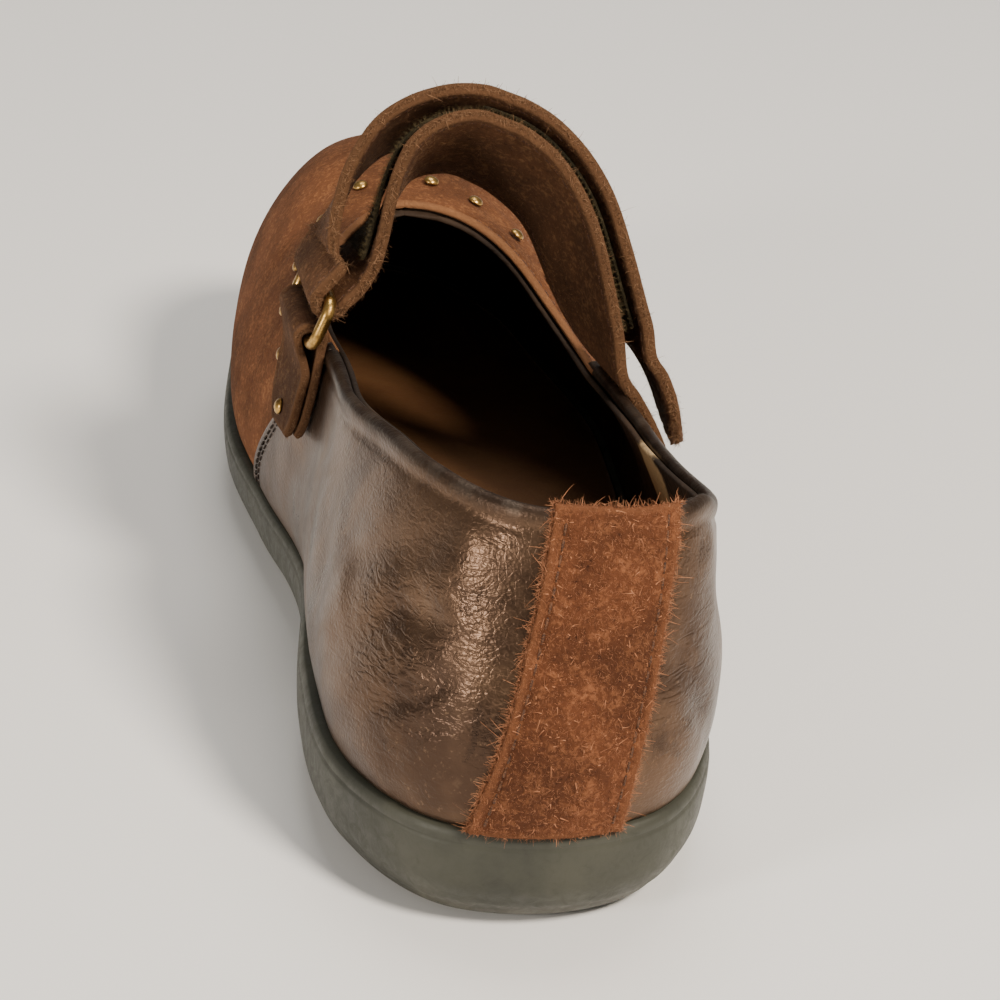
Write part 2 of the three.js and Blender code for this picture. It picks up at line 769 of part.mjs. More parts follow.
// A place on the outside of a quarter, down from the topline and along from the rear edge
function onQuarter(side, y, down, lift) {
  const w = side * stationAt(y / shoeLength);
  const height = readTable(toplineRows, sideName(side), y / shoeLength) * backHeight;
  const t = shareAtHeight(w, height - down);
  return { point: offLast(w, t, quarterLap + lift), normal: lastNormal(w, t) };
}

// The ring's bars: the rear ends, the direction and the ways from lower to upper and outwards
const strapRear = strapAt * shoeLength;
const strapFront = strapRear + strapWidth;
const barHeight = ringHeight - 2 * wireRadius;
const barLift = 2 * curveGap + tabThickness + wireRadius;
const lowerBar = onQuarter(-1, strapRear, 0, barLift).point;
const barWay = onQuarter(-1, strapFront, 0, barLift).point.sub(lowerBar).normalize();
const upright = vec(ringLean, 0, 1);
const upWay = upright.addScaledVector(barWay, -upright.dot(barWay)).normalize();
const outWay = upWay.clone().cross(barWay).normalize();
lowerBar.z += ringLift;
const upperBar = lowerBar.clone().addScaledVector(upWay, barHeight);

// Frames of a fold round a bar, from its inner to its outer side
function foldFrames(bar, radius, width) {
  const frames = [];
  for (let i = 0; i <= foldSteps; i += 1) {
    const angle = (Math.PI * i) / foldSteps;
    const away = outWay.clone().multiplyScalar(-Math.cos(angle));
    away.addScaledVector(upWay, -Math.sin(angle));
    const rear = bar.clone().addScaledVector(away, radius);
    const normal = away.clone().negate();
    const places = [0, 0.5, 1].map((share) => {
      return { point: rear.clone().addScaledVector(barWay, share * width), normal };
    });
    frames.push(places);
  }
  return frames;
}

const strapLift = curveGap + strapThickness / 2;
const foldRadius = wireRadius + seatGap + strapThickness / 2;
const slopeStep = 0.01;
const tipRound = 0.96; // of the free end, where 1 would end it in a point

// The arch's lower layer, from the lateral topline to the ring
function archFrames() {
  const start = onQuarter(1, strapRear, 0, strapLift).point;
  const end = upperBar.clone().addScaledVector(outWay, -foldRadius);
  const rearAt = (at) => {
    const point = start.clone().lerp(end, at);
    point.y += readTable(archRows, "ahead", at) * strapWidth;
    point.z += readTable(archRows, "rise", at) * strapRise;
    return point;
  };
  const places = [];
  archRows.slice(1, -1).forEach((row, i) => {
    for (let k = 0; k < archSteps; k += 1) {
      places.push(mix(row.at, archRows[i + 2].at, k / archSteps));
    }
  });
  places.push(archRows[archRows.length - 1].at);
  return places.map((at) => {
    const rear = rearAt(at);
    const way = vec(readTable(archRows, "flare", at), 1, -readTable(archRows, "drop", at));
    way.normalize();
    const run = rearAt(Math.min(at + slopeStep, 1)).sub(rearAt(Math.max(at - slopeStep, 0)));
    const normal = way.clone().cross(run).normalize();
    return { at, rear, way, normal };
  });
}

const arch = archFrames();

// The arch again, moved outwards, with its edges drawn in
function archLayer(from, to, lift, inset) {
  const rows = arch.filter(({ at }) => at >= from - 1e-6 && at <= to + 1e-6);
  return rows.map(({ at, rear, way, normal }) => {
    const move = typeof lift === "function" ? lift(at) : lift;
    return [0, 0.5, 1].map((share) => {
      const along = mix(inset, strapWidth - inset, share);
      const point = rear.clone().addScaledVector(way, along).addScaledVector(normal, move);
      return { point, normal };
    });
  });
}

const layerGap = (at) => readTable(archRows, "apart", at);

// Frames down the outside of the lateral quarter, from one distance below the topline to another
function sideFrames(from, to, lift, steps) {
  const frames = [];
  for (let i = 0; i <= steps; i += 1) {
    const down = mix(from, to, i / steps);
    const off = typeof lift === "function" ? lift(down) : lift;
    const ahead = [0, 0.5, 1].map((share) => strapRear + share * strapWidth);
    frames.push(ahead.map((y) => onQuarter(1, y, down, off)));
  }
  return frames;
}

// The free end of the strap, rounded
function roundTip(frames) {
  return frames.map((places, i) => {
    const reach = i / (frames.length - 1);
    const half = Math.sqrt(1 - Math.pow(tipRound * reach, 2));
    const middle = places[1].point;
    return places.map(({ point, normal }) => {
      return { point: middle.clone().lerp(point, half), normal };
    });
  });
}

function turnOver(frames) {
  return frames.map((places) => {
    return places.map(({ point, normal }) => ({ point, normal: normal.clone().negate() }));
  });
}

function buildStrap() {
  const anchor = sideFrames(strapAnchor, -strapStand, strapLift, anchorSteps);
  const lower = archLayer(0, 1, 0, 0);
  const fold = foldFrames(upperBar, foldRadius, strapWidth);
  const upper = archLayer(0, 1, (at) => strapThickness + layerGap(at), 0).reverse();
  const reach = strapHang + strapTip;
  const far = (down) => {
    const part = smooth(clamp(down / reach, 0, 1));
    return strapLift + strapThickness + mix(layerGap(0), tipGap, part);
  };
  const hang = sideFrames(-strapStand, strapHang, far, hangSteps).slice(0, -1);
  const tip = roundTip(sideFrames(strapHang, reach, far, tipSteps));
  const turned = turnOver([...upper, ...hang, ...tip]);
  return band([...anchor, ...lower, ...fold, ...turned], strapThickness);
}

function buildPile() {
  const lift = strapThickness / 2 + curveGap + pileThickness / 2;
  return band(archLayer(pileFrom, pileTo, lift, fastenerInset), pileThickness);
}

function buildHooks() {
  const lift = (at) => strapThickness / 2 + layerGap(at) - curveGap - hookThickness / 2;
  return band(archLayer(hookFrom, hookTo, lift, fastenerInset), hookThickness);
}

// The wire ring: straight bars with rounded corners
function buildRing() {
  const skin = new Skin();
  const long = (strapWidth + 2 * ringPlay) / 2 + wireRadius - ringCorner;
  const tall = barHeight / 2 - ringCorner;
  const middle = lowerBar.clone().lerp(upperBar, 0.5).addScaledVector(barWay, strapWidth / 2);
  const across = barWay.clone().cross(upWay).normalize();
  const corners = [
    { u: long, v: tall },
    { u: -long, v: tall },
    { u: -long, v: -tall },
    { u: long, v: -tall },
  ];
  const loops = [];
  corners.forEach(({ u, v }, quarter) => {
    for (let i = 0; i <= cornerSteps; i += 1) {
      const angle = ((quarter + i / cornerSteps) * Math.PI) / 2;
      const away = barWay.clone().multiplyScalar(Math.cos(angle));
      away.addScaledVector(upWay, Math.sin(angle));
      const centre = middle.clone().addScaledVector(barWay, u).addScaledVector(upWay, v);
      centre.addScaledVector(away, ringCorner);
      const loop = [];
      for (let k = 0; k < wireSides; k += 1) {
        const turn = (k * 2 * Math.PI) / wireSides;
        const point = centre.clone().addScaledVector(away, wireRadius * Math.cos(turn));
        loop.push(skin.add(point.addScaledVector(across, wireRadius * Math.sin(turn))));
      }
      loops.push(loop);
    }
  });
  skin.join([...loops, loops[0]]);
  return skin;
}

// The tab's middle along the quarter, drawn back towards its pointed end
function tabMiddle(down) {
  const share = clamp((down - tabHem) / (tabDrop - tabHem), 0, 1);
  return strapRear + strapWidth / 2 - tabTipBack * share;
}

// The tab: up the quarter, round the lower bar and down again over itself
function buildTab() {
  const ply = (lift) => {
    const frames = [];
    for (let i = 0; i <= tabSteps; i += 1) {
      const down = mix(tabDrop, tabHem, i / tabSteps);
      const width = mix(tabTipWidth, tabWidth, Math.sqrt(i / tabSteps));
      const middle = tabMiddle(down);
      const ahead = [-0.5, 0, 0.5].map((share) => middle + share * width);
      frames.push(ahead.map((y) => onQuarter(-1, y, down, lift)));
    }
    return frames;
  };
  const inner = ply(curveGap + tabThickness / 2);
  const outer = ply(curveGap + seatGap + 1.5 * tabThickness).reverse();
  const start = lowerBar.clone().addScaledVector(barWay, (strapWidth - tabWidth) / 2);
  const around = -(wireRadius + curveGap + tabThickness / 2);
  const fold = turnOver(foldFrames(start, around, tabWidth).reverse());
  return band([...inner, ...fold, ...turnOver(outer)], tabThickness);
}

// Domed studs in a row outside the throat's edge
function buildStud(place) {
  const skin = new Skin();
  const side = vec(0, 1, 0).cross(place.normal).normalize();
  const other = place.normal.clone().cross(side);
  const ring = (radius, height) => {
    const loop = [];
    for (let k = 0; k < studSides; k += 1) {
      const turn = (k * 2 * Math.PI) / studSides;
      const point = place.point.clone().addScaledVector(place.normal, height);
      point.addScaledVector(side, radius * Math.cos(turn));
      loop.push(skin.add(point.addScaledVector(other, radius * Math.sin(turn))));
    }
    return loop;
  };
  const loops = [
    ring(studRadius, 0),
    ring(studRadius * studShoulder, studHeight / 2),
    ring(studRadius * studHead, studHeight),
  ];
  skin.join(loops);
  skin.cap(loops[0], false, true);
  skin.cap(loops[2], false, false);
  return skin;
}

// The row's line on one side: from the ridge of the vamp back along the throat
function studLine(side) {
  const line = [];
  const sideInset = side < 0 ? medialInset : lateralInset;
  const start = stationAt(throatAt + studInset / shoeLength);
  for (let i = 0; i <= rowSteps; i += 1) {
    const share = i / rowSteps;
    const inset = mix(studInset, sideInset, smooth(Math.min(2 * share, 1)));
    const w = side * mix(start, stationAt(rowEnd), share);
    const t = rimShare(w, inset);
    line.push({ point: offLast(w, t, seatGap), normal: lastNormal(w, t) });
  }
  return line;
}

function studPlaces(side, count) {
  const line = studLine(side);
  const first = side < 0 ? studPitch - studLead : studLead;
  const places = [];
  let run = 0;
  for (let i = 1; i < line.length && places.length < count; i += 1) {
    run += line[i].point.distanceTo(line[i - 1].point);
    if (run >= first + places.length * studPitch) places.push(line[i]);
  }
  return places;
}

addPiece("upper", buildUpper(), finishes.bronzeLeather);
addPiece("outsole", buildOutsole(), finishes.rubber);
addPiece("insole", buildInsole(), finishes.board);
addPiece("heel_strip", buildHeelStrip(), finishes.suede);
addPiece("strap", buildStrap(), finishes.suede);
addPiece("strap_pile", buildPile(), finishes.pile);
addPiece("strap_hooks", buildHooks(), finishes.pile);
addPiece("ring", buildRing(), finishes.brass);
addPiece("ring_tab", buildTab(), finishes.suede);
const tabTop = curveGap + 2 * seatGap + 2 * tabThickness;
const studDrop = tabDrop - tabStudRise;
const tabStud = onQuarter(-1, tabMiddle(studDrop), studDrop, tabTop);
const studs = [...studPlaces(1, lateralStuds), ...studPlaces(-1, medialStuds), tabStud];
studs.forEach((place, i) => {
  addPiece("stud_" + String(i + 1).padStart(2, "0"), buildStud(place), finishes.brass);
});

export default shoe;
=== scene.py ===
"""Mary jane shoe, right foot: suede vamp, metallic leather quarters, cup sole and a wide strap.

Lengths in this script are millimetres, as in the part's source, and become metres in the meshes.
The origin is under the middle of the heel, X to the outer side, Y to the toe, Z up.
"""
import math

import bmesh
import bpy
import numpy as np
from mathutils import Matrix, Vector


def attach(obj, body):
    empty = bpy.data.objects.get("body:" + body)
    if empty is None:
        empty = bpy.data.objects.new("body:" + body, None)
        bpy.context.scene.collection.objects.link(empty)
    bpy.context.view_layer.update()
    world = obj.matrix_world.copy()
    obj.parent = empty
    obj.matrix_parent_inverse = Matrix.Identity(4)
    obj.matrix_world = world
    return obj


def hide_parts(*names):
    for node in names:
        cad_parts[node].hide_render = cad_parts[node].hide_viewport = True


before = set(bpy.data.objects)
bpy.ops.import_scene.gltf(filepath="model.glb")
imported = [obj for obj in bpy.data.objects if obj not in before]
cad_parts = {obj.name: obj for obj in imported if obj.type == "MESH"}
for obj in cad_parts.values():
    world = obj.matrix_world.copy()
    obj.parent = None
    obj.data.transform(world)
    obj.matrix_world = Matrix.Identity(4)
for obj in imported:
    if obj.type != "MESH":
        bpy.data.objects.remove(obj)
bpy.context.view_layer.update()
MM = 0.001

# ---------------------------------------------------------------- sizes of the shoe
LENGTH = 205.0
HEEL_WIDTH = 55.0
WAIST_WIDTH = 57.0
BALL_WIDTH = 71.0
HEEL_SEAT = 32.0

HEEL_WALL = 18.1
FORE_WALL = 13.5
TOE_SPRING = 6.0
SPRING_FROM = 0.73
EDGE_SPRING_FROM = 0.7
ARCH_RISE = 1.6
SOLE_LIP = 1.6
SOLE_TUCK = 6.5
SOLE_SPREAD = 2.0
SPREAD_TAPER = 0.6
SPREAD_END = 0.42
RECESS_DEPTH = 3.0
RECESS_INSET = 2.7

BACK_HEIGHT = 46.6
WALL = 2.0
QUARTER_LAP = 0.8
HEEL_BULGE = 1.6
BULGE_HEIGHT = 34.0
HEEL_LEAN = 7.5
THROAT_AT = 0.685
THROAT_START = 0.55
HEEL_SPINE = 0.2
TOE_SPINE = 0.78
SPINE_EASE = 0.06
LEAN_END = 0.33
THROAT_SQUARENESS = 1.9
SPINE_BEND = 4.0

INSOLE_THICKNESS = 3.0
SOCK_DIP = 0.35
SEAT_GAP = 0.3
CURVE_GAP = 0.42

STRIP_WIDTH = 21.0
STRIP_TOP_WIDTH = 17.0
STRIP_FOOT_SWAY = -1.5
STRIP_TOP_SWAY = 0.8
STRIP_BOW = 1.2
STRIP_THICKNESS = 1.3
STRIP_RISE = 0.6
STRIP_HEIGHT = 47.0
STRIP_STITCH_INSET = 1.75

STRAP_WIDTH = 22.0
STRAP_THICKNESS = 2.0
STRAP_STITCH_INSET = 1.9
STRAP_RISE = 35.5
STRAP_AT = 0.42
STRAP_ANCHOR = 12.0
STRAP_STAND = 1.5
STRAP_HANG = 4.0
STRAP_TIP = 9.0
TIP_GAP = 1.2
PILE_THICKNESS = 0.7
HOOK_THICKNESS = 0.6
FASTENER_INSET = 2.5
PILE_SPAN = (0.041, 0.888)
HOOK_SPAN = (0.041, 0.52)
WIRE_RADIUS = 1.0
RING_HEIGHT = 9.6
RING_PLAY = 0.8
RING_CORNER = 2.4
RING_LIFT = 0.6
RING_LEAN = 0.42
TAB_THICKNESS = 1.5
TAB_DROP = 17.0
TAB_WIDTH = 20.0
TAB_TIP_WIDTH = 9.0
TAB_HEM = 5.0
TAB_TIP_BACK = 3.0

STUD_RADIUS = 1.35
STUD_HEIGHT = 0.9
STUD_INSET = 11.5
SIDE_INSETS = {1: 6.5, -1: 14.0}
STUD_PITCH = 10.2
STUD_LEAD = 3.7
LATERAL_STUDS = 5
MEDIAL_STUDS = 5
TAB_STUD_RISE = 3.5

WALL_LINE_AT = 0.893
WALL_LINE_WIDTH = 0.012
WALL_LINE_DEPTH = 0.22
TREAD_MARGIN = 4.0
GROOVE_DEPTH = 1.2
GROOVE_WIDTH = 2.4
GROOVES = [0.215, 0.255, 0.295, 0.335, 0.575, 0.605, 0.715, 0.745, 0.775]


class Table:
    """Rows with named columns, read on a smooth curve that doesn't overshoot."""

    def __init__(self, names, rows):
        data = np.array(rows, float)
        self.columns = {name: data[:, k] for k, name in enumerate(names.split())}
        self.at = data[:, 0]

    def read(self, name, x):
        at, value = self.at, self.columns[name]
        x = np.clip(x, at[0], at[-1])
        steep = np.diff(value) / np.diff(at)
        slope = np.empty_like(value)
        slope[0], slope[-1] = steep[0], steep[-1]
        same = steep[:-1] * steep[1:] > 0
        both = np.where(same, steep[:-1] + steep[1:], 1)
        slope[1:-1] = np.where(same, 2 * steep[:-1] * steep[1:] / both, 0)
        i = np.clip(np.searchsorted(at, x) - 1, 0, len(at) - 2)
        span = at[i + 1] - at[i]
        s = (x - at[i]) / span
        a, b = value[i], value[i + 1]
        ra, rb = slope[i] * span, slope[i + 1] * span
        return (((2 * (a - b) + ra + rb) * s + (3 * (b - a) - 2 * ra - rb)) * s + ra) * s + a


FOOTPRINT = [
    # share of length, width it is a share of, medial share, lateral share
    (0.035, HEEL_WIDTH, 0.3, 0.29),
    (0.115, HEEL_WIDTH, 0.485, 0.468),
    (0.25, HEEL_WIDTH, 0.515, 0.515),
    (0.41, WAIST_WIDTH, 0.45, 0.55),
    (0.56, BALL_WIDTH, 0.41, 0.485),
    (0.69, BALL_WIDTH, 0.45, 0.49),
    (0.8, BALL_WIDTH, 0.42, 0.42),
    (0.9, BALL_WIDTH, 0.35, 0.33),
    (0.965, BALL_WIDTH, 0.22, 0.17),
]
HEEL_BACK = 0.012
TOE_TIP = (0.99, 0.045)

LAST = Table("at ridge medial lateral medial_full lateral_full", [
    (0.0, 1.545, 0.0, 0.0, 2.0, 2.0),
    (0.2, 1.48, 0.0, 0.0, 2.0, 2.0),
    (0.32, 1.4, 0.17, -0.17, 2.1, 2.0),
    (0.44, 1.23, 0.245, -0.245, 2.15, 2.0),
    (0.54, 1.04, 0.17, -0.2, 2.1, 1.95),
    (0.62, 0.947, 0.064, -0.085, 2.1, 1.9),
    (0.685, 0.942, 0.0, 0.0, 2.1, 1.95),
    (0.78, 0.95, 0.0, 0.0, 2.15, 2.05),
    (1.0, 0.91, 0.0, 0.0, 2.25, 2.25),
])

TOPLINE = Table("at medial lateral", [
    (0.0, 1.0, 1.0),
    (0.06, 1.0, 0.97),
    (0.1, 1.0, 0.9),
    (0.18, 0.98, 0.81),
    (0.26, 0.925, 0.735),
    (0.34, 0.865, 0.67),
    (0.42, 0.83, 0.632),
    (0.5, 0.815, 0.582),
    (0.56, 0.82, 0.567),
    (0.7, 0.82, 0.62),
])

SEAMS = {-1: (0.445, 0.6), 1: (0.535, 0.65)}

ARCH = Table("at rise apart ahead flare drop", [
    (0.0, 0.0, 3.7, 0.0, -0.17, 0.14),
    (0.041, 0.225, 3.3, 0.1, -0.22, 0.24),
    (0.069, 0.39, 2.9, 0.19, -0.27, 0.37),
    (0.11, 0.59, 2.6, 0.28, -0.31, 0.5),
    (0.171, 0.775, 2.6, 0.38, -0.32, 0.67),
    (0.266, 0.915, 2.6, 0.46, -0.3, 0.88),
    (0.388, 0.99, 2.6, 0.5, -0.2, 1.04),
    (0.52, 1.0, 2.6, 0.5, -0.07, 1.06),
    (0.652, 0.925, 3.0, 0.48, 0.06, 0.94),
    (0.76, 0.785, 4.2, 0.42, 0.13, 0.74),
    (0.823, 0.58, 5.6, 0.34, 0.15, 0.52),
    (0.854, 0.38, 6.0, 0.24, 0.1, 0.37),
    (0.888, 0.205, 5.2, 0.15, 0.0, 0.24),
    (0.94, 0.08, 3.2, 0.08, -0.1, 0.14),
])

SOLE_WALL = Table("at out", [
    (0.0, -1.0),
    (0.1, -0.42),
    (0.26, -0.05),
    (0.5, 1.05),
    (0.8, 1.3),
    (0.95, 1.15),
    (1.0, 0.75),
])


# ---------------------------------------------------------------- the last
def mix(a, b, s):
    return a + (b - a) * s


def smooth(s):
    s = np.clip(s, 0, 1)
    return s * s * (3 - 2 * s)


def unit(v):
    return v / np.maximum(np.linalg.norm(v, axis=-1, keepdims=True), 1e-12)


def curve_part(p0, p1, p2, p3, d0, d1, d2, steps):
    """Points from p1 up to p2 on a smooth curve, given the root distances between the four."""
    t1 = ((p1 - p0) / d0 - (p2 - p0) / (d0 + d1) + (p2 - p1) / d1) * d1
    t2 = ((p2 - p1) / d1 - (p3 - p1) / (d1 + d2) + (p3 - p2) / d2) * d1
    c2 = -3 * p1 + 3 * p2 - 2 * t1 - t2
    c3 = 2 * p1 - 2 * p2 + t1 + t2
    return [p1 + s * (t1 + s * (c2 + s * c3)) for s in np.arange(steps) / steps]


def closed_curve(points, per):
    """A closed centripetal curve through points."""
    n = len(points)
    made = []
    for i in range(n):
        four = [points[(i + k - 1) % n] for k in range(4)]
        roots = [math.sqrt(np.linalg.norm(b - a)) for a, b in zip(four, four[1:])]
        made += curve_part(*four, *roots, per)
    made.append(points[0])
    return np.array(made)


def footprint():
    left = [(-m * w, a * LENGTH) for a, w, m, l in FOOTPRINT]
    right = [(l * w, a * LENGTH) for a, w, m, l in FOOTPRINT][::-1]
    tip = [(-TOE_TIP[1] * BALL_WIDTH, TOE_TIP[0] * LENGTH)]
    points = [(0.0, HEEL_BACK * LENGTH)] + left + tip + right
    return closed_curve([np.array(p) for p in points], 44)


OUTLINE = footprint()


def outline_hit(start, way):
    """Where rays leave the footprint. Both are arrays of pairs."""
    a = OUTLINE[:-1]
    edge = OUTLINE[1:] - a
    cross = way[:, None, 0] * edge[None, :, 1] - way[:, None, 1] * edge[None, :, 0]
    cross = np.where(np.abs(cross) < 1e-9, 1e-9, cross)
    gap = a[None] - start[:, None]
    along = (gap[..., 0] * edge[None, :, 1] - gap[..., 1] * edge[None, :, 0]) / cross
    share = (gap[..., 0] * way[:, None, 1] - gap[..., 1] * way[:, None, 0]) / cross
    good = (share >= -1e-6) & (share <= 1 + 1e-6)
    best = np.where(good, along, 0).max(axis=1)
    return start + way * best[:, None]


HEEL_SHARE = 0.16
TOE_SHARE = 0.84
SPINE_START = HEEL_SPINE * LENGTH
SPINE_END = TOE_SPINE * LENGTH
EASE = SPINE_EASE * LENGTH
FAN_BACK = SPINE_START - EASE
FAN_FRONT = SPINE_END + EASE


def spine_y(y):
    front = np.clip(y - (SPINE_END - EASE), 0, 2 * EASE)
    back = np.clip(SPINE_START + EASE - y, 0, 2 * EASE)
    y_front = SPINE_END - EASE + front - front ** 2 / (4 * EASE)
    y_back = SPINE_START + EASE - back + back ** 2 / (4 * EASE)
    return np.where(front > 0, y_front, np.where(back > 0, y_back, y))


def spine_x(y):
    return -SPINE_BEND * smooth((y - SPINE_START) / (0.45 * LENGTH - SPINE_START))


def station_table():
    """Feet and spine points for stations from -1 to 1."""
    w = np.linspace(-1, 1, 2401)
    foot = np.zeros((len(w), 2))
    spine = np.zeros((len(w), 2))
    for side in (-1, 1):
        mine = (w < 0) if side < 0 else (w >= 0)
        u = np.abs(w[mine])
        poles = {}
        for name, y, edge in (("heel", SPINE_START, FAN_BACK), ("toe", SPINE_END, FAN_FRONT)):
            pole = np.array([spine_x(y), y])
            hit = outline_hit(np.array([[0.0, edge]]), np.array([[float(side), 0.0]]))[0]
            poles[name] = (pole, math.atan2(abs(hit[0] - pole[0]), abs(hit[1] - pole[1])))
        f = np.zeros((len(u), 2))
        s = np.zeros((len(u), 2))
        heel = u < HEEL_SHARE
        toe = u > TOE_SHARE
        rest = ~heel & ~toe
        for part, name, sign in ((heel, "heel", -1), (toe, "toe", 1)):
            pole, most = poles[name]
            share = u[part] / HEEL_SHARE if name == "heel" else (1 - u[part]) / (1 - TOE_SHARE)
            angle = most * share
            way = np.stack([side * np.sin(angle), sign * np.cos(angle)], 1)
            f[part] = outline_hit(np.repeat(pole[None], len(angle), 0), way)
            s[part] = pole
        y = mix(FAN_BACK, FAN_FRONT, (u[rest] - HEEL_SHARE) / (TOE_SHARE - HEEL_SHARE))
        start = np.stack([np.zeros_like(y), y], 1)
        f[rest] = outline_hit(start, np.repeat([[float(side), 0.0]], len(y), 0))
        sy = spine_y(y)
        s[rest] = np.stack([spine_x(sy), sy], 1)
        foot[mine] = f
        spine[mine] = s
    return w, foot, spine


STATIONS, FEET, SPINES = station_table()


def turn(w):
    w = np.asarray(w, float)
    return np.where(np.abs(w) > 1, w - 2 * np.sign(w), w)


def foot_of(w):
    w = turn(w)
    return np.stack([np.interp(w, STATIONS, FEET[:, k]) for k in (0, 1)], -1)


def spine_of(w):
    w = turn(w)
    return np.stack([np.interp(w, STATIONS, SPINES[:, k]) for k in (0, 1)], -1)


def station_at(share):
    return mix(HEEL_SHARE, TOE_SHARE, (share * LENGTH - FAN_BACK) / (FAN_FRONT - FAN_BACK))


def toe_rise(share, start):
    return TOE_SPRING * np.maximum((share - start) / (1 - start), 0) ** 1.8


def underside_z(y):
    share = y / LENGTH
    arch = np.clip((share - 0.36) / 0.2, 0, 1)
    return toe_rise(share, SPRING_FROM) + ARCH_RISE * np.sin(np.pi * arch) ** 2


def edge_z(y):
    share = y / LENGTH
    return mix(HEEL_WALL, FORE_WALL, smooth((share - 0.28) / 0.36)) + toe_rise(share, EDGE_SPRING_FROM)


def by_side(w, table, medial, lateral, x):
    return np.where(turn(w) < 0, table.read(medial, x), table.read(lateral, x))


def ridge_height(w, y):
    x = y / LENGTH
    return (LAST.read("ridge", x) + by_side(w, LAST, "medial", "lateral", x)) * BACK_HEIGHT


def last_point(w, t):
    w, t = np.broadcast_arrays(np.asarray(w, float), np.asarray(t, float))
    foot, spine = foot_of(w), spine_of(w)
    full = by_side(w, LAST, "medial_full", "lateral_full", foot[..., 1] / LENGTH)
    angle = np.clip(t, 0, 1) * np.pi / 2
    inward = np.maximum(np.cos(angle), 0) ** (2 / full)
    upward = np.sin(angle) ** (2 / full)
    base = edge_z(foot[..., 1])
    ridge = edge_z(spine[..., 1]) + ridge_height(w, spine[..., 1])
    out = foot - spine
    flat = spine + out * inward[..., None]
    z = mix(base, ridge, upward)
    above = (z - base) / BULGE_HEIGHT
    swell = np.where(above < 1, 6.75 * above * (1 - above) ** 2 * HEEL_BULGE, 0)
    flat = flat + unit(out) * swell[..., None]
    fade = 1 - smooth(flat[..., 1] / (LEAN_END * LENGTH))
    lift = np.clip((z - base) / BACK_HEIGHT, 0, 1.2)
    x = flat[..., 0] + HEEL_LEAN * fade * lift ** 1.5
    return np.stack([x, flat[..., 1], z], -1)


def last_normal(w, t):
    w, t = np.broadcast_arrays(np.asarray(w, float), np.asarray(t, float))
    step = 0.004
    low = np.minimum(t, 1 - step)
    around = last_point(w + step, low) - last_point(w - step, low)
    up = last_point(w, np.minimum(low + step, 1)) - last_point(w, np.maximum(low - step, 0))
    normal = unit(np.cross(around, up))
    y = spine_of(w)[..., 1]
    ridge = lambda at: edge_z(at) + LAST.read("ridge", at / LENGTH) * BACK_HEIGHT
    top = unit(np.stack([0 * y, ridge(y - 1) - ridge(y + 1), 0 * y + 2], -1))
    blend = smooth((t - 0.985) / 0.015)[..., None]
    return unit(mix(normal, top, blend))


def off_last(w, t, distance):
    return last_point(w, t) + last_normal(w, t) * np.asarray(distance)[..., None]


def share_at_height(w, height):
    w, height = np.broadcast_arrays(np.asarray(w, float), np.asarray(height, float))
    low, high = np.zeros(w.shape), np.ones(w.shape)
    base = last_point(w, 0 * w)[..., 2]
    for _ in range(22):
        middle = (low + high) / 2
        under = last_point(w, middle)[..., 2] - base < height
        low, high = np.where(under, middle, low), np.where(under, high, middle)
    return low


def rim_share(w, grow=0.0):
    y = foot_of(w)[..., 1]
    height = by_side(w, TOPLINE, "medial", "lateral", y / LENGTH) * BACK_HEIGHT
    opening = share_at_height(w, height - grow)
    start = THROAT_START * LENGTH
    apex = THROAT_AT * LENGTH + grow
    along = np.clip((y - start) / (apex - start), 0, 1)
    closing = np.maximum(1 - along ** THROAT_SQUARENESS, 0)
    reach = np.cos(opening * np.pi / 2) * closing ** (1 / THROAT_SQUARENESS)
    return np.arccos(np.clip(reach, 0, 1)) * 2 / np.pi


def shift(points):
    """From the back of the heel to the origin under it."""
    return points - np.array([0, HEEL_SEAT, 0])


# ---------------------------------------------------------------- making meshes
def make_piece(name, points, faces, material, marks=None):
    """A mesh piece from points in millimetres. marks are named values for each point."""
    mesh = bpy.data.meshes.new(name)
    mesh.from_pydata((np.asarray(points) * MM).tolist(), [], faces)
    for key, values in (marks or {}).items():
        layer = mesh.attributes.new(key, "FLOAT", "POINT")
        layer.data.foreach_set("value", np.asarray(values, np.float32))
    mesh.materials.append(material)
    mesh.polygons.foreach_set("use_smooth", [True] * len(mesh.polygons))
    mesh.validate()
    piece = bpy.data.objects.new(name, mesh)
    bpy.context.collection.objects.link(piece)
    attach(piece, "root")
    return piece


def grid_faces(rows, cols, start=0, wrap=False, flip=False):
    faces = []
    across = cols if wrap else cols - 1
    for i in range(rows - 1):
        for j in range(across):
            k = (j + 1) % cols
            quad = (start + i * cols + j, start + i * cols + k,
                    start + (i + 1) * cols + k, start + (i + 1) * cols + j)
            faces.append(quad[::-1] if flip else quad)
    return faces


def merge_close(piece, distance=2e-6):
    bm = bmesh.new()
    bm.from_mesh(piece.data)
    bmesh.ops.remove_doubles(bm, verts=bm.verts, dist=distance)
    bmesh.ops.recalc_face_normals(bm, faces=bm.faces)
    bm.to_mesh(piece.data)
    bm.free()


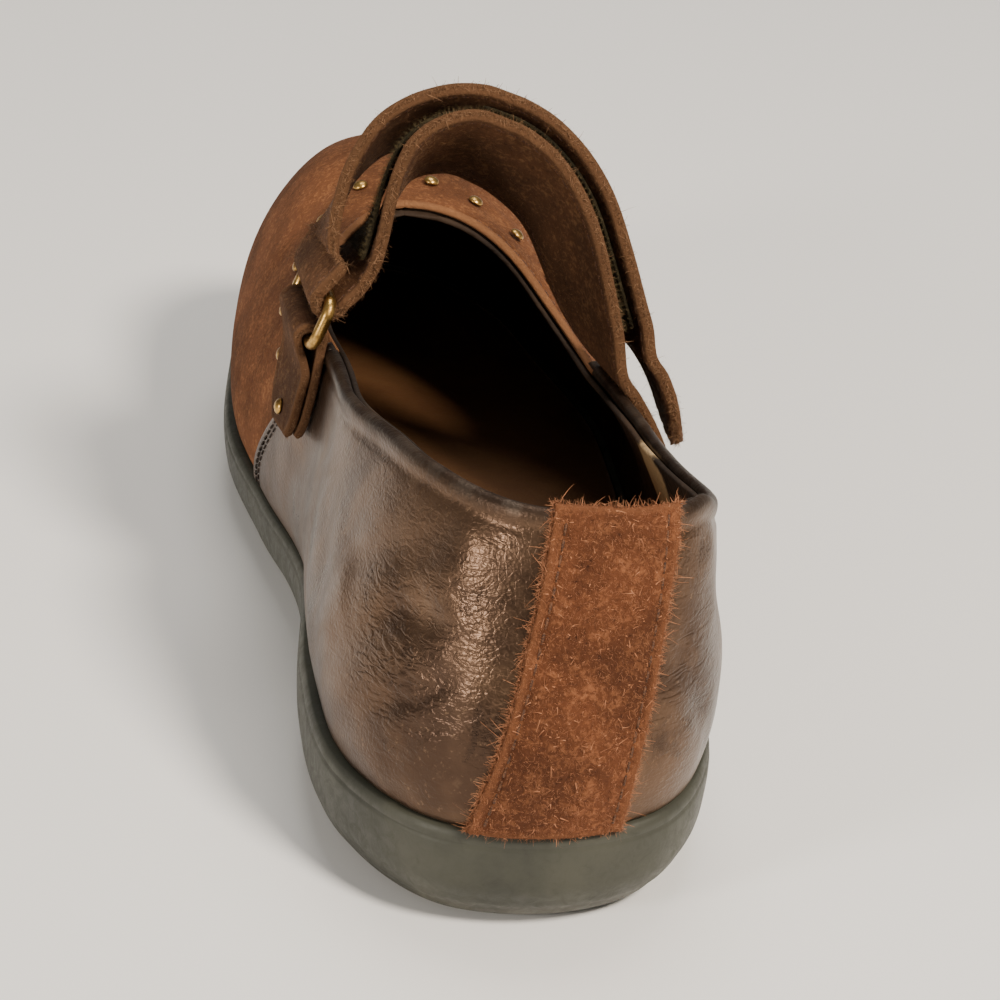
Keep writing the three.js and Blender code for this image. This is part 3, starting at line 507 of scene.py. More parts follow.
def slab(name, outer, inner, material, marks, nodes):
    """A closed sheet between two grids of points with the same rows and columns."""
    rows, cols = outer.shape[:2]
    count = rows * cols
    faces = grid_faces(rows, cols) + grid_faces(rows, cols, count, flip=True)
    for j in range(cols - 1):
        faces.append((j + 1, j, count + j, count + j + 1))
        k = (rows - 1) * cols + j
        faces.append((k, k + 1, count + k + 1, count + k))
    for i in range(rows - 1):
        a, b = i * cols, (i + 1) * cols
        faces.append((a, b, count + b, count + a))
        a, b = a + cols - 1, b + cols - 1
        faces.append((b, a, count + a, count + b))
    points = np.concatenate([outer.reshape(-1, 3), inner.reshape(-1, 3)])
    both = {key: np.concatenate([np.ravel(v), np.ravel(v)]) for key, v in marks.items()}
    piece = make_piece(name, points, faces, material, both)
    merge_close(piece)
    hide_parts(*nodes)


def near(points, line):
    """Distance from points to a line of points."""
    shape = points.shape[:-1]
    flat = points.reshape(-1, 3)
    best = np.full(len(flat), 1e9)
    for start in range(0, len(flat), 4000):
        part = flat[start:start + 4000]
        a, b = line[:-1], line[1:]
        run = b - a
        share = ((part[:, None] - a[None]) * run[None]).sum(-1) / np.maximum((run ** 2).sum(-1), 1e-9)
        share = np.clip(share, 0, 1)
        gap = part[:, None] - (a[None] + run[None] * share[..., None])
        best[start:start + 4000] = np.sqrt((gap ** 2).sum(-1).min(1))
    return best.reshape(shape)


def rounded(distance, half):
    """Share of its thickness that a sheet has at a distance from a rounded edge."""
    return np.sqrt(np.clip(1 - (1 - np.clip(distance / half, 0, 1)) ** 2, 0, 1))


def through(frames, steps):
    """More frames on a smooth curve through frames, which are arrays of equal shape."""
    frames = np.asarray(frames, float)
    n = len(frames)
    made = []
    gaps = np.sqrt(np.maximum(np.linalg.norm(
        (frames[1:] - frames[:-1]).reshape(n - 1, -1), axis=1), 1e-6))
    for i in range(n - 1):
        p1, p2 = frames[i], frames[i + 1]
        d1 = gaps[i]
        p0, d0 = (frames[i - 1], gaps[i - 1]) if i else (2 * p1 - p2, d1)
        p3, d2 = (frames[i + 2], gaps[i + 1]) if i + 2 < n else (2 * p2 - p1, d1)
        made += curve_part(p0, p1, p2, p3, d0, d1, d2, steps)
    made.append(frames[-1])
    return np.array(made)


def tubes(name, lines, radius, material, sides=6):
    """Short threads joined in one mesh, each along its own line of points, thinner at its ends."""
    points, faces = [], []
    for line in lines:
        line = np.asarray(line, float)
        n = len(line)
        run = unit(np.gradient(line, axis=0))
        helper = np.array([0.31, 0.21, 0.93])
        side = unit(np.cross(run, helper))
        other = np.cross(run, side)
        base = len(points)
        for i in range(n):
            size = radius * (0.55 if i in (0, n - 1) else 1.0)
            for k in range(sides):
                a = 2 * math.pi * k / sides
                points.append(line[i] + size * (math.cos(a) * side[i] + math.sin(a) * other[i]))
        faces += grid_faces(n, sides, base, wrap=True)
        faces.append(tuple(base + k for k in reversed(range(sides))))
        faces.append(tuple(base + (n - 1) * sides + k for k in range(sides)))
    piece = make_piece(name, points, faces, material)


def stitch_line(path, normals, pitch, length, sink=0.25, lift=0.1):
    """Lines for stitches along a path, each dipping into the sheet at its ends."""
    gaps = np.linalg.norm(np.diff(path, axis=0), axis=1)
    run = np.concatenate([[0], np.cumsum(gaps)])
    lines = []
    at = pitch * 0.5
    while at + length < run[-1]:
        places = at + length * np.array([0, 0.12, 0.35, 0.65, 0.88, 1.0])
        dip = np.array([-sink, lift * 0.4, lift, lift, lift * 0.4, -sink])
        point = np.stack([np.interp(places, run, path[:, k]) for k in range(3)], 1)
        normal = unit(np.stack([np.interp(places, run, normals[:, k]) for k in range(3)], 1))
        lines.append(point + normal * dip[:, None])
        at += pitch
    return lines


def fuzz(name, roots, ways, lengths, material, rng, width, curl):
    """Loose fibres as thin curved ribbons joined in one mesh."""
    count = len(roots)
    ways = unit(ways)
    bend = unit(rng.normal(size=(count, 3)))
    side = unit(np.cross(ways, unit(rng.normal(size=(count, 3)))))
    lengths = lengths[:, None]
    steps = (0.0, 0.4, 0.75, 1.0)
    rings = []
    for s in steps:
        centre = roots + ways * lengths * s + bend * lengths * curl * s * s
        half = side * width * (1 - 0.75 * s) * 0.5
        rings.append(centre - half)
        rings.append(centre + half)
    points = np.stack(rings, 1).reshape(-1, 3)
    faces = []
    for i in range(count):
        base = i * 8
        for k in range(3):
            a = base + 2 * k
            faces.append((a, a + 1, a + 3, a + 2))
    piece = make_piece(name, points, faces, material)


# ---------------------------------------------------------------- finishes
def new_group(name, inputs, outputs):
    group = bpy.data.node_groups.new(name, "ShaderNodeTree")
    for kind, label, value in inputs:
        socket = group.interface.new_socket(label, in_out="INPUT", socket_type=kind)
        if value is not None:
            socket.default_value = value
    for kind, label in outputs:
        group.interface.new_socket(label, in_out="OUTPUT", socket_type=kind)
    start = group.nodes.new("NodeGroupInput")
    end = group.nodes.new("NodeGroupOutput")
    return group, start, end


class Wiring:
    """Short ways to add and join nodes in a tree."""

    def __init__(self, tree):
        self.tree = tree

    def node(self, kind, **values):
        made = self.tree.nodes.new(kind)
        for key, value in values.items():
            setattr(made, key, value)
        return made

    def join(self, a, b):
        self.tree.links.new(a, b)

    def feed(self, socket, value):
        if isinstance(value, bpy.types.NodeSocket):
            self.join(value, socket)
        else:
            socket.default_value = value

    def noise(self, where, scale, detail=3.0, rough=0.55, distort=0.0):
        made = self.node("ShaderNodeTexNoise")
        self.feed(made.inputs["Vector"], where)
        self.feed(made.inputs["Scale"], scale)
        made.inputs["Detail"].default_value = detail
        made.inputs["Roughness"].default_value = rough
        made.inputs["Distortion"].default_value = distort
        return made.outputs["Fac"]

    def cells(self, where, scale, feature="F1"):
        made = self.node("ShaderNodeTexVoronoi", feature=feature)
        self.feed(made.inputs["Vector"], where)
        self.feed(made.inputs["Scale"], scale)
        return made.outputs["Distance"]

    def level(self, value, low, high, out_low=0.0, out_high=1.0):
        made = self.node("ShaderNodeMapRange")
        made.interpolation_type = "SMOOTHSTEP"
        self.feed(made.inputs["Value"], value)
        self.feed(made.inputs["From Min"], low)
        self.feed(made.inputs["From Max"], high)
        self.feed(made.inputs["To Min"], out_low)
        self.feed(made.inputs["To Max"], out_high)
        return made.outputs["Result"]

    def math(self, kind, a, b=0.0):
        made = self.node("ShaderNodeMath", operation=kind)
        self.feed(made.inputs[0], a)
        self.feed(made.inputs[1], b)
        return made.outputs[0]

    def blend(self, share, a, b, kind="MIX"):
        made = self.node("ShaderNodeMix", data_type="RGBA", blend_type=kind)
        self.feed(made.inputs[0], share)
        self.feed(made.inputs[6], a)
        self.feed(made.inputs[7], b)
        return made.outputs[2]

    def bump(self, height, strength, distance, normal=None):
        made = self.node("ShaderNodeBump")
        self.feed(made.inputs["Height"], height)
        self.feed(made.inputs["Strength"], strength)
        made.inputs["Distance"].default_value = distance
        if normal is not None:
            self.join(normal, made.inputs["Normal"])
        return made.outputs["Normal"]

    def place(self):
        return self.node("ShaderNodeTexCoord").outputs["Object"]

    def mark(self, name):
        return self.node("ShaderNodeAttribute", attribute_name=name).outputs["Fac"]


def rgb(r, g, b):
    """A linear colour from one seen on a screen, 0 to 255."""
    def line(c):
        c /= 255
        return c / 12.92 if c <= 0.04045 else ((c + 0.055) / 1.055) ** 2.4
    return (line(r), line(g), line(b), 1.0)


def nap_group():
    """Suede: tufts brushed different ways, with light fibre tips and dark gaps."""
    group, start, end = new_group("suede nap", [
        ("NodeSocketVector", "Place", None),
        ("NodeSocketColor", "Ground", (0.1, 0.04, 0.02, 1)),
        ("NodeSocketColor", "Tips", (0.3, 0.13, 0.06, 1)),
        ("NodeSocketColor", "Gaps", (0.03, 0.01, 0.005, 1)),
        ("NodeSocketFloat", "Tuft Scale", 900.0),
        ("NodeSocketFloat", "Patch Scale", 120.0),
        ("NodeSocketFloat", "Depth", 1.0),
    ], [("NodeSocketColor", "Color"), ("NodeSocketVector", "Normal")])
    w = Wiring(group)
    place = start.outputs["Place"]
    tuft = w.noise(place, start.outputs["Tuft Scale"], 4, 0.7, 0.6)
    fine = w.noise(place, w.math("MULTIPLY", start.outputs["Tuft Scale"], 3.1), 2, 0.7, 0.3)
    patch = w.noise(place, start.outputs["Patch Scale"], 4, 0.6, 0.8)
    broad = w.noise(place, w.math("MULTIPLY", start.outputs["Patch Scale"], 0.3), 2, 0.5, 0.4)
    tips = w.level(w.math("ADD", tuft, w.math("MULTIPLY", patch, 0.5)), 0.72, 0.95)
    gaps = w.level(w.math("ADD", tuft, w.math("MULTIPLY", patch, 0.4)), 0.62, 0.42)
    color = w.blend(tips, start.outputs["Ground"], start.outputs["Tips"])
    color = w.blend(gaps, color, start.outputs["Gaps"])
    shade = w.level(broad, 0.3, 0.7, 0.68, 1.28)
    tint = w.node("ShaderNodeCombineColor")
    for k in range(3):
        w.join(shade, tint.inputs[k])
    color = w.blend(1.0, color, tint.outputs[0], "MULTIPLY")
    height = w.math("ADD", w.math("MULTIPLY", tuft, 1.0), w.math("MULTIPLY", fine, 0.45))
    height = w.math("ADD", height, w.math("MULTIPLY", patch, 0.8))
    normal = w.bump(height, start.outputs["Depth"], 0.0006)
    w.join(color, end.inputs["Color"])
    w.join(normal, end.inputs["Normal"])
    return group


def grain_group():
    """Leather: pebbled grain, fine wrinkles, and patches where the finish has rubbed."""
    group, start, end = new_group("leather grain", [
        ("NodeSocketVector", "Place", None),
        ("NodeSocketFloat", "Grain Scale", 900.0),
        ("NodeSocketFloat", "Wrinkle Scale", 130.0),
        ("NodeSocketFloat", "Wrinkles", 0.5),
        ("NodeSocketFloat", "Grain", 0.5),
    ], [("NodeSocketVector", "Normal"), ("NodeSocketFloat", "Wear")])
    w = Wiring(group)
    place = start.outputs["Place"]
    pores = w.cells(place, start.outputs["Grain Scale"], "F1")
    coarse = w.math("MULTIPLY", start.outputs["Grain Scale"], 0.45)
    ridges = w.cells(place, coarse, "DISTANCE_TO_EDGE")
    squeeze = w.node("ShaderNodeMapping")
    w.join(place, squeeze.inputs["Vector"])
    squeeze.inputs["Rotation"].default_value = (0.15, 0.1, 0.3)
    squeeze.inputs["Scale"].default_value = (0.55, 0.55, 1.5)
    wrinkle = w.noise(squeeze.outputs[0], start.outputs["Wrinkle Scale"], 3, 0.5, 0.5)
    fold = w.math("ABSOLUTE", w.math("SUBTRACT", wrinkle, 0.5))
    fold = w.level(fold, 0.0, 0.16)
    height = w.math("MULTIPLY", fold, start.outputs["Wrinkles"])
    pebbles = w.math("MULTIPLY", w.math("MULTIPLY", pores, 0.35), start.outputs["Grain"])
    height = w.math("ADD", height, pebbles)
    crack = w.level(ridges, 0.0, 0.09)
    cracks = w.math("MULTIPLY", w.math("MULTIPLY", crack, 0.12), start.outputs["Grain"])
    height = w.math("ADD", height, cracks)
    normal = w.bump(height, 0.55, 0.00035)
    wear = w.noise(place, 55.0, 6, 0.65, 0.6)
    w.join(normal, end.inputs["Normal"])
    w.join(wear, end.inputs["Wear"])
    return group


def dust_group():
    """Where dirt and paler dust gather: low on the shoe and in patches."""
    group, start, end = new_group("ground dust", [
        ("NodeSocketVector", "Place", None),
        ("NodeSocketFloat", "Top", 0.02),
        ("NodeSocketFloat", "Bottom", 0.0),
    ], [("NodeSocketFloat", "Mask")])
    w = Wiring(group)
    split = w.node("ShaderNodeSeparateXYZ")
    w.join(start.outputs["Place"], split.inputs[0])
    low = w.level(split.outputs["Z"], start.outputs["Top"], start.outputs["Bottom"])
    patch = w.noise(start.outputs["Place"], 160.0, 5, 0.65, 0.5)
    both = w.math("ADD", w.math("MULTIPLY", low, 0.55), w.math("MULTIPLY", patch, 0.8))
    spread = w.level(both, 0.62, 1.05)
    w.join(spread, end.inputs["Mask"])
    return group


NAP, GRAIN, DUST = nap_group(), grain_group(), dust_group()


def material(name, **plain):
    made = bpy.data.materials.new(name)
    made.use_nodes = True
    w = Wiring(made.node_tree)
    shader = made.node_tree.nodes["Principled BSDF"]
    for key, value in plain.items():
        shader.inputs[key.replace("_", " ")].default_value = value
    return made, w, shader


def use(w, group, **values):
    made = w.node("ShaderNodeGroup")
    made.node_tree = group
    for key, value in values.items():
        w.feed(made.inputs[key.replace("_", " ")], value)
    return made.outputs


def suede(name, ground, tips, gaps, edge=None, tuft=900.0, patch=120.0, depth=1.0, sheen=0.25):
    made, w, shader = material(name, Roughness=0.95, Sheen_Weight=sheen, Sheen_Roughness=0.5)
    shader.inputs["Sheen Tint"].default_value = tips
    shader.inputs["Specular IOR Level"].default_value = 0.2
    nap = use(w, NAP, Place=w.place(), Ground=ground, Tips=tips, Gaps=gaps,
              Tuft_Scale=tuft, Patch_Scale=patch, Depth=depth)
    color = nap["Color"]
    if edge is not None:
        raw = w.level(w.mark("edge"), 1.5, 0.25)
        color = w.blend(w.math("MULTIPLY", raw, 0.8), color, edge)
    w.join(color, shader.inputs["Base Color"])
    w.join(nap["Normal"], shader.inputs["Normal"])
    return made


def bronze_leather():
    made, w, shader = material("bronze leather", Metallic=0.8)
    shader.inputs["Specular IOR Level"].default_value = 0.5
    place = w.place()
    creased = w.mark("creased")
    grain = use(w, GRAIN, Place=place, Grain_Scale=1700.0, Wrinkle_Scale=420.0,
                Wrinkles=w.level(creased, 0.0, 1.0, 0.1, 0.5), Grain=0.6)
    tone = w.noise(place, 38.0, 4, 0.6, 0.7)
    color = w.blend(w.level(tone, 0.35, 0.68), rgb(70, 52, 40), rgb(104, 80, 61))
    worn = w.level(grain["Wear"], 0.56, 0.7)
    color = w.blend(w.math("MULTIPLY", worn, 0.5), color, rgb(128, 103, 82))
    dark = w.level(grain["Wear"], 0.46, 0.3)
    color = w.blend(w.math("MULTIPLY", dark, 0.65), color, rgb(52, 39, 31))
    fleck = w.level(w.noise(place, 900.0, 3, 0.7, 0.2), 0.6, 0.72)
    color = w.blend(w.math("MULTIPLY", fleck, 0.25), color, rgb(160, 130, 102))
    rim = w.level(w.mark("rim"), 3.2, 0.6)
    painted_rim_highlight = w.level(w.noise(place, 260.0, 4, 0.6), 0.42, 0.6)
    # painted shade: within a few millimetres of the topline the leather is darkened, where the rolled edge
    # lies in shade
    color = w.blend(w.math("MULTIPLY", rim, 0.6), color, rgb(30, 26, 24))
    # painted highlight: pale grey patches along the topline, where the light catches the rolled edge
    color = w.blend(w.math("MULTIPLY", w.math("MULTIPLY", rim, painted_rim_highlight), 0.3), color, rgb(104, 94, 84))
    dust = use(w, DUST, Place=place, Top=0.03, Bottom=0.012)
    color = w.blend(w.math("MULTIPLY", dust["Mask"], 0.2), color, rgb(84, 71, 58))
    rough = w.level(grain["Wear"], 0.35, 0.7, 0.27, 0.42)
    rough = w.math("ADD", rough, w.math("MULTIPLY", dust["Mask"], 0.12))
    rough = w.math("ADD", rough, w.math("MULTIPLY", rim, 0.15))
    w.join(color, shader.inputs["Base Color"])
    w.join(rough, shader.inputs["Roughness"])
    scratch = w.node("ShaderNodeMapping")
    w.join(place, scratch.inputs["Vector"])
    scratch.inputs["Rotation"].default_value = (0.4, 0.9, 0.2)
    scratch.inputs["Scale"].default_value = (1.0, 14.0, 1.0)
    lines = w.level(w.noise(scratch.outputs[0], 160.0, 2, 0.5, 0.2), 0.66, 0.7)
    normal = w.bump(lines, 0.1, 0.0001, grain["Normal"])
    w.join(normal, shader.inputs["Normal"])
    return made


def lining_leather():
    made, w, shader = material("dark lining", Roughness=0.75)
    shader.inputs["Specular IOR Level"].default_value = 0.25
    place = w.place()
    grain = use(w, GRAIN, Place=place, Grain_Scale=1300.0, Wrinkle_Scale=220.0, Wrinkles=0.5, Grain=0.6)
    color = w.blend(w.level(w.noise(place, 60.0, 4, 0.6), 0.35, 0.7), rgb(34, 25, 18), rgb(58, 43, 31))
    blotch = w.math("MULTIPLY", w.noise(place, 300.0, 5, 0.7), 0.5)
    worn = w.level(w.math("ADD", w.mark("rubbed"), blotch), 0.62, 0.9)
    color = w.blend(worn, color, rgb(178, 150, 112))
    w.join(color, shader.inputs["Base Color"])
    w.join(grain["Normal"], shader.inputs["Normal"])
    return made


def cup_rubber():
    made, w, shader = material("dark cup rubber")
    shader.inputs["Specular IOR Level"].default_value = 0.4
    place = w.place()
    tone = w.noise(place, 45.0, 5, 0.6, 0.5)
    color = w.blend(w.level(tone, 0.3, 0.7), rgb(46, 47, 39), rgb(64, 64, 53))
    dust = use(w, DUST, Place=place, Top=0.012, Bottom=-0.002)
    color = w.blend(w.math("MULTIPLY", dust["Mask"], 0.35), color, rgb(104, 98, 85))
    smear = w.noise(place, 400.0, 5, 0.7, 1.0)
    color = w.blend(w.math("MULTIPLY", w.level(smear, 0.58, 0.75), 0.3), color, rgb(34, 32, 26))
    rough = w.level(smear, 0.3, 0.7, 0.42, 0.62)
    fine = w.noise(place, 2600.0, 3, 0.6)
    height = w.math("ADD", w.math("MULTIPLY", fine, 0.4), w.math("MULTIPLY", smear, 0.5))
    w.join(color, shader.inputs["Base Color"])
    w.join(rough, shader.inputs["Roughness"])
    w.join(w.bump(height, 0.3, 0.0002), shader.inputs["Normal"])
    return made


def sock_leather():
    made, w, shader = material("worn sock leather with painted shade", Roughness=0.7)
    shader.inputs["Specular IOR Level"].default_value = 0.25
    place = w.place()
    grain = use(w, GRAIN, Place=place, Grain_Scale=1100.0, Wrinkle_Scale=180.0, Wrinkles=0.25, Grain=0.6)
    split = w.node("ShaderNodeSeparateXYZ")
    w.join(place, split.inputs[0])
    # painted shade: the insole darkens towards the toe, where the walls, strap and vamp shade the inside of
    # the shoe
    ahead = w.level(split.outputs["Y"], 0.01, 0.09)
    color = w.blend(w.level(w.noise(place, 50.0, 5, 0.6, 0.6), 0.3, 0.7), rgb(128, 88, 52), rgb(160, 116, 72))
    color = w.blend(w.math("MULTIPLY", ahead, 0.7), color, rgb(70, 42, 26))
    stain = w.level(w.noise(place, 30.0, 3, 0.5, 1.0), 0.52, 0.7)
    color = w.blend(w.math("MULTIPLY", stain, 0.45), color, rgb(66, 44, 28))
    w.join(color, shader.inputs["Base Color"])
    w.join(grain["Normal"], shader.inputs["Normal"])
    return made


def old_brass():
    made, w, shader = material("dulled brass", Metallic=1.0)
    place = w.place()
    tone = w.noise(place, 700.0, 4, 0.6, 0.3)
    color = w.blend(w.level(tone, 0.4, 0.7), rgb(196, 158, 92), rgb(120, 88, 46))
    w.join(color, shader.inputs["Base Color"])
    w.join(w.level(tone, 0.3, 0.7, 0.24, 0.46), shader.inputs["Roughness"])
    w.join(w.bump(w.noise(place, 2400.0, 3, 0.6), 0.15, 0.0001), shader.inputs["Normal"])
    return made


def thread(name, light, dark):
    made, w, shader = material(name, Roughness=0.8)
    place = w.place()
    twist = w.noise(place, 4200.0, 2, 0.5)
    w.join(w.blend(w.level(twist, 0.35, 0.65), dark, light), shader.inputs["Base Color"])
    w.join(w.bump(twist, 0.5, 0.0001), shader.inputs["Normal"])
    return made


def fibre(name, light, dark):
    made, w, shader = material(name, Roughness=0.9)
    shader.inputs["Specular IOR Level"].default_value = 0.2
    color = w.blend(w.noise(w.place(), 900.0, 2, 0.5), dark, light)
    w.join(color, shader.inputs["Base Color"])
    return made


RUST = dict(ground=rgb(88, 51, 31), tips=rgb(126, 80, 52), gaps=rgb(50, 27, 16))
VAMP = dict(ground=rgb(98, 60, 36), tips=rgb(130, 86, 54), gaps=rgb(64, 37, 22))
BROWN = dict(ground=rgb(76, 49, 30), tips=rgb(108, 76, 50), gaps=rgb(44, 27, 15))
strip_suede = suede("rust suede", edge=rgb(116, 73, 47), tuft=1100.0, patch=260.0, depth=0.9,
                    sheen=0.12, **RUST)
vamp_suede = suede("vamp suede", edge=rgb(132, 92, 62), tuft=1300.0, patch=200.0, depth=0.6,
                   sheen=0.12, **VAMP)
strap_suede = suede("strap suede", edge=rgb(88, 61, 40), tuft=1200.0, patch=240.0, depth=0.7,
                    sheen=0.12, **BROWN)
pile_cloth = suede("loop pile", rgb(42, 36, 22), rgb(72, 62, 42), rgb(18, 14, 8),
                   tuft=1600.0, patch=300.0)
leather = bronze_leather()
lining = lining_leather()
rubber = cup_rubber()
sock = sock_leather()
brass = old_brass()
brown_thread = thread("brown thread", rgb(104, 66, 40), rgb(50, 28, 16))
dark_thread = thread("dark thread", rgb(64, 52, 42), rgb(26, 20, 16))
rust_fibre = fibre("rust fibres", rgb(190, 134, 98), rgb(104, 62, 40))
brown_fibre = fibre("brown fibres", rgb(158, 120, 88), rgb(70, 46, 30))
pale_fibre = fibre("pale fibres", rgb(180, 126, 92), rgb(134, 84, 56))
olive_fibre = fibre("olive fibres", rgb(104, 90, 62), rgb(40, 33, 20))


# ---------------------------------------------------------------- sole and insole
def sole_stations(grooved):
    u = [HEEL_SHARE * i / 40 for i in range(40)]
    half = GROOVE_WIDTH / LENGTH / 2
    marks = []
    for share in GROOVES:
        marks += [(station_at(share - half), True), (station_at(share + half), False)]
    plain = list(np.linspace(HEEL_SHARE, TOE_SHARE, 130))
    if grooved:
        plain = [x for x in plain if all(not (a[0] - 0.002 < x < b[0] + 0.002)
                                         for a, b in zip(marks[::2], marks[1::2]))]
    rows = [(x, False) for x in u + plain]
    rows += [(mix(TOE_SHARE, 1.0, i / 44), False) for i in range(1, 45)]
    if grooved:
        rows += marks
    rows.sort()
    return rows


def edge_ring(stations, out, height, spread=0.0):
    w = np.array([u for u, _ in stations] + [-u for u, _ in stations[1:-1]][::-1])
    foot = foot_of(w)
    run = foot_of(w + 0.004) - foot_of(w - 0.004)
    away = unit(np.stack([run[:, 1], -run[:, 0]], 1))
    share = np.clip(-w / station_at(SPREAD_END), 0, 1)
    reach = out + spread * SOLE_SPREAD * np.sin(np.pi * share) ** 2
    flat = foot + away * reach[:, None]
    return shift(np.concatenate([flat, height(foot[:, 1])[:, None]], 1))


def build_sole():
    stations = sole_stations(True)
    rings = [edge_ring(stations, -RECESS_INSET, lambda y: edge_z(y) - RECESS_DEPTH),
             edge_ring(stations, -RECESS_INSET, edge_z)]
    rises = np.concatenate([[1.0, 0.985, 0.96, 0.93, 0.905, 0.89, 0.875, 0.85],
                            np.linspace(0.82, 0.2, 20), np.linspace(0.17, 0.0, 12)])
    for up in rises:
        out = float(SOLE_WALL.read("out", up))
        reach = out * (SOLE_TUCK if out < 0 else SOLE_LIP)
        reach -= WALL_LINE_DEPTH * math.exp(-((up - WALL_LINE_AT) / WALL_LINE_WIDTH) ** 2)
        height = lambda y, up=up: mix(underside_z(y), edge_z(y), up)
        rings.append(edge_ring(stations, reach, height, 1 - SPREAD_TAPER * up))
    rings.append(edge_ring(stations, -SOLE_TUCK - TREAD_MARGIN, underside_z, 1.0))
    count = len(rings[0])
    points = np.concatenate(rings)
    faces = grid_faces(len(rings), count, wrap=True, flip=True)

    def strips(ring, up, sunk):
        nonlocal points
        for k in range(len(stations) - 1):
            a, b = k, k + 1
            c, d = (count - k - 1) % count, (count - k) % count
            corners = [ring * count + i for i in (a, b, c, d)]
            if sunk and stations[k][1]:
                start = len(points)
                points = np.concatenate([points, points[corners] + [0, 0, GROOVE_DEPTH]])
                faces.append((start, start + 1, start + 2, start + 3))
                for i in range(4):
                    j = (i + 1) % 4
                    faces.append((corners[i], corners[j], start + j, start + i))
                continue
            kept = tuple(dict.fromkeys(corners))
            faces.append(kept if not up else kept[::-1])

    strips(0, True, False)
    strips(len(rings) - 1, False, True)
    piece = make_piece("cup_sole", points, faces, rubber)
    merge_close(piece)
    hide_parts("outsole")


def build_sock():
    stations = sole_stations(False)
    inset = -RECESS_INSET - SEAT_GAP
    under = lambda y: edge_z(y) - RECESS_DEPTH + SEAT_GAP
    rings = [edge_ring(stations, inset, under)]
    for lift, draw in ((2.4, 0.0), (2.75, 0.15), (2.95, 0.5), (INSOLE_THICKNESS, 1.2)):
        rings.append(edge_ring(stations, inset - draw, lambda y, lift=lift: under(y) + lift))
    for draw in (4.0, 8.0, 12.0):
        dip = SOCK_DIP * smooth(draw / 12)
        rings.append(edge_ring(stations, inset - draw,
                               lambda y, dip=dip: under(y) + INSOLE_THICKNESS - dip))
    count = len(rings[0])
    points = np.concatenate(rings)
    faces = grid_faces(len(rings), count, wrap=True)
    for ring, flip in ((0, True), (len(rings) - 1, False)):
        for k in range(len(stations) - 1):
            four = (k, k + 1, (count - k - 1) % count, (count - k) % count)
            corners = [ring * count + i for i in four]
            kept = tuple(dict.fromkeys(corners))
            faces.append(kept[::-1] if flip else kept)
    piece = make_piece("sock", points, faces, sock)
    merge_close(piece)
    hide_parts("insole")


# ---------------------------------------------------------------- the upper
def around_of(w):
    """Distance round the back of the foot along the sole's edge, medial side negative."""
    gaps = np.linalg.norm(np.diff(FEET, axis=0), axis=1)
    run = np.concatenate([[0], np.cumsum(gaps)])
    run -= np.interp(0.0, STATIONS, run)
    return np.interp(turn(w), STATIONS, run)


# Creases in the quarters: from one place to another, each a distance round from the middle of the
# heel (medial negative) and a height, then the width and the depth. Negative depths stand out.
CREASES = [
    (-22, 50, -50, 30, 3.2, 0.55),
    (-18, 44, -40, 20, 2.6, 0.4),
    (-27, 56, -58, 44, 3.4, 0.5),
    (-16, 36, -28, 24, 1.6, 0.35),
    (-19, 40, -30, 31, 1.3, 0.3),
    (-15, 31, -25, 19, 1.4, 0.3),
    (-24, 47, -36, 43, 1.6, 0.3),
    (-70, 46, -50, 24, 4.0, 0.5),
    (-80, 40, -66, 22, 3.2, 0.45),
    (-21, 60, -26, 48, 5.0, -0.7),
    (-46, 40, -58, 30, 5.5, -0.4),
    (16, 46, 24, 30, 2.4, 0.4),
    (18, 36, 30, 22, 2.0, 0.35),
    (28, 52, 50, 34, 4.0, 0.6),
    (36, 30, 58, 24, 3.0, 0.35),
    (24, 58, 30, 44, 4.5, -0.5),
    (60, 42, 84, 24, 4.5, 0.5),
    (92, 36, 104, 22, 3.0, 0.35),
    (-98, 40, -112, 22, 3.0, 0.4),
]

# Creases across the vamp where the toes bend, on the same terms but in place along the shoe and
# across it, in the frame of the back of the heel
VAMP_CREASES = [
    (-22, 138, 4, 152, 3.0, 0.45),
    (-27, 146, -8, 160, 3.0, 0.4),
    (26, 132, 8, 150, 3.2, 0.45),
    (30, 142, 10, 158, 2.8, 0.35),
    (-14, 166, 14, 164, 5.0, 0.3),
]


def crease_depth(a, b, rows):
    total = np.zeros_like(a)
    for x0, y0, x1, y1, width, depth in rows:
        run = np.array([x1 - x0, y1 - y0], float)
        long = np.linalg.norm(run)
        along = ((a - x0) * run[0] + (b - y0) * run[1]) / long ** 2
        wander = 0.9 * np.sin(along * 5.0 + x0) + 0.4 * np.sin(along * 13.0 + y0)
        off = ((a - x0) * run[1] - (b - y0) * run[0]) / long + wander
        ends = smooth((along + 0.12) / 0.3) * smooth((1.12 - along) / 0.3)
        total += depth * np.exp(-(off / width) ** 2) * ends
    return total


def low_waves(a, b, seed, size):
    """A few long soft waves, so that no sheet is perfectly even."""
    rng = np.random.default_rng(seed)
    total = np.zeros_like(a)
    for _ in range(9):
        way = rng.uniform(0, 2 * math.pi)
        length = rng.uniform(0.6, 1.6) * size
        along = a * math.cos(way) + b * math.sin(way)
        total += np.sin(along * 2 * math.pi / length + rng.uniform(0, 6.28))
    return total / 9


def rows_to_rim(plain):
    """Shares of a column from sole to rim, closer together at the rim."""
    left = [5.5, 4.6, 3.8, 3.1, 2.5, 2.0, 1.55, 1.15, 0.8, 0.5, 0.28, 0.12, 0.03, 0.0]
    return np.concatenate([np.linspace(0, 0.87, plain), 1 - np.array(left) / 48])


def rim_line():
    """The edge of the opening, from the medial to the lateral end of the throat round the heel."""
    apex = station_at(THROAT_AT)
    w = np.linspace(-apex, apex, 900)
    return last_point(w, rim_share(w))


RIM = rim_line()


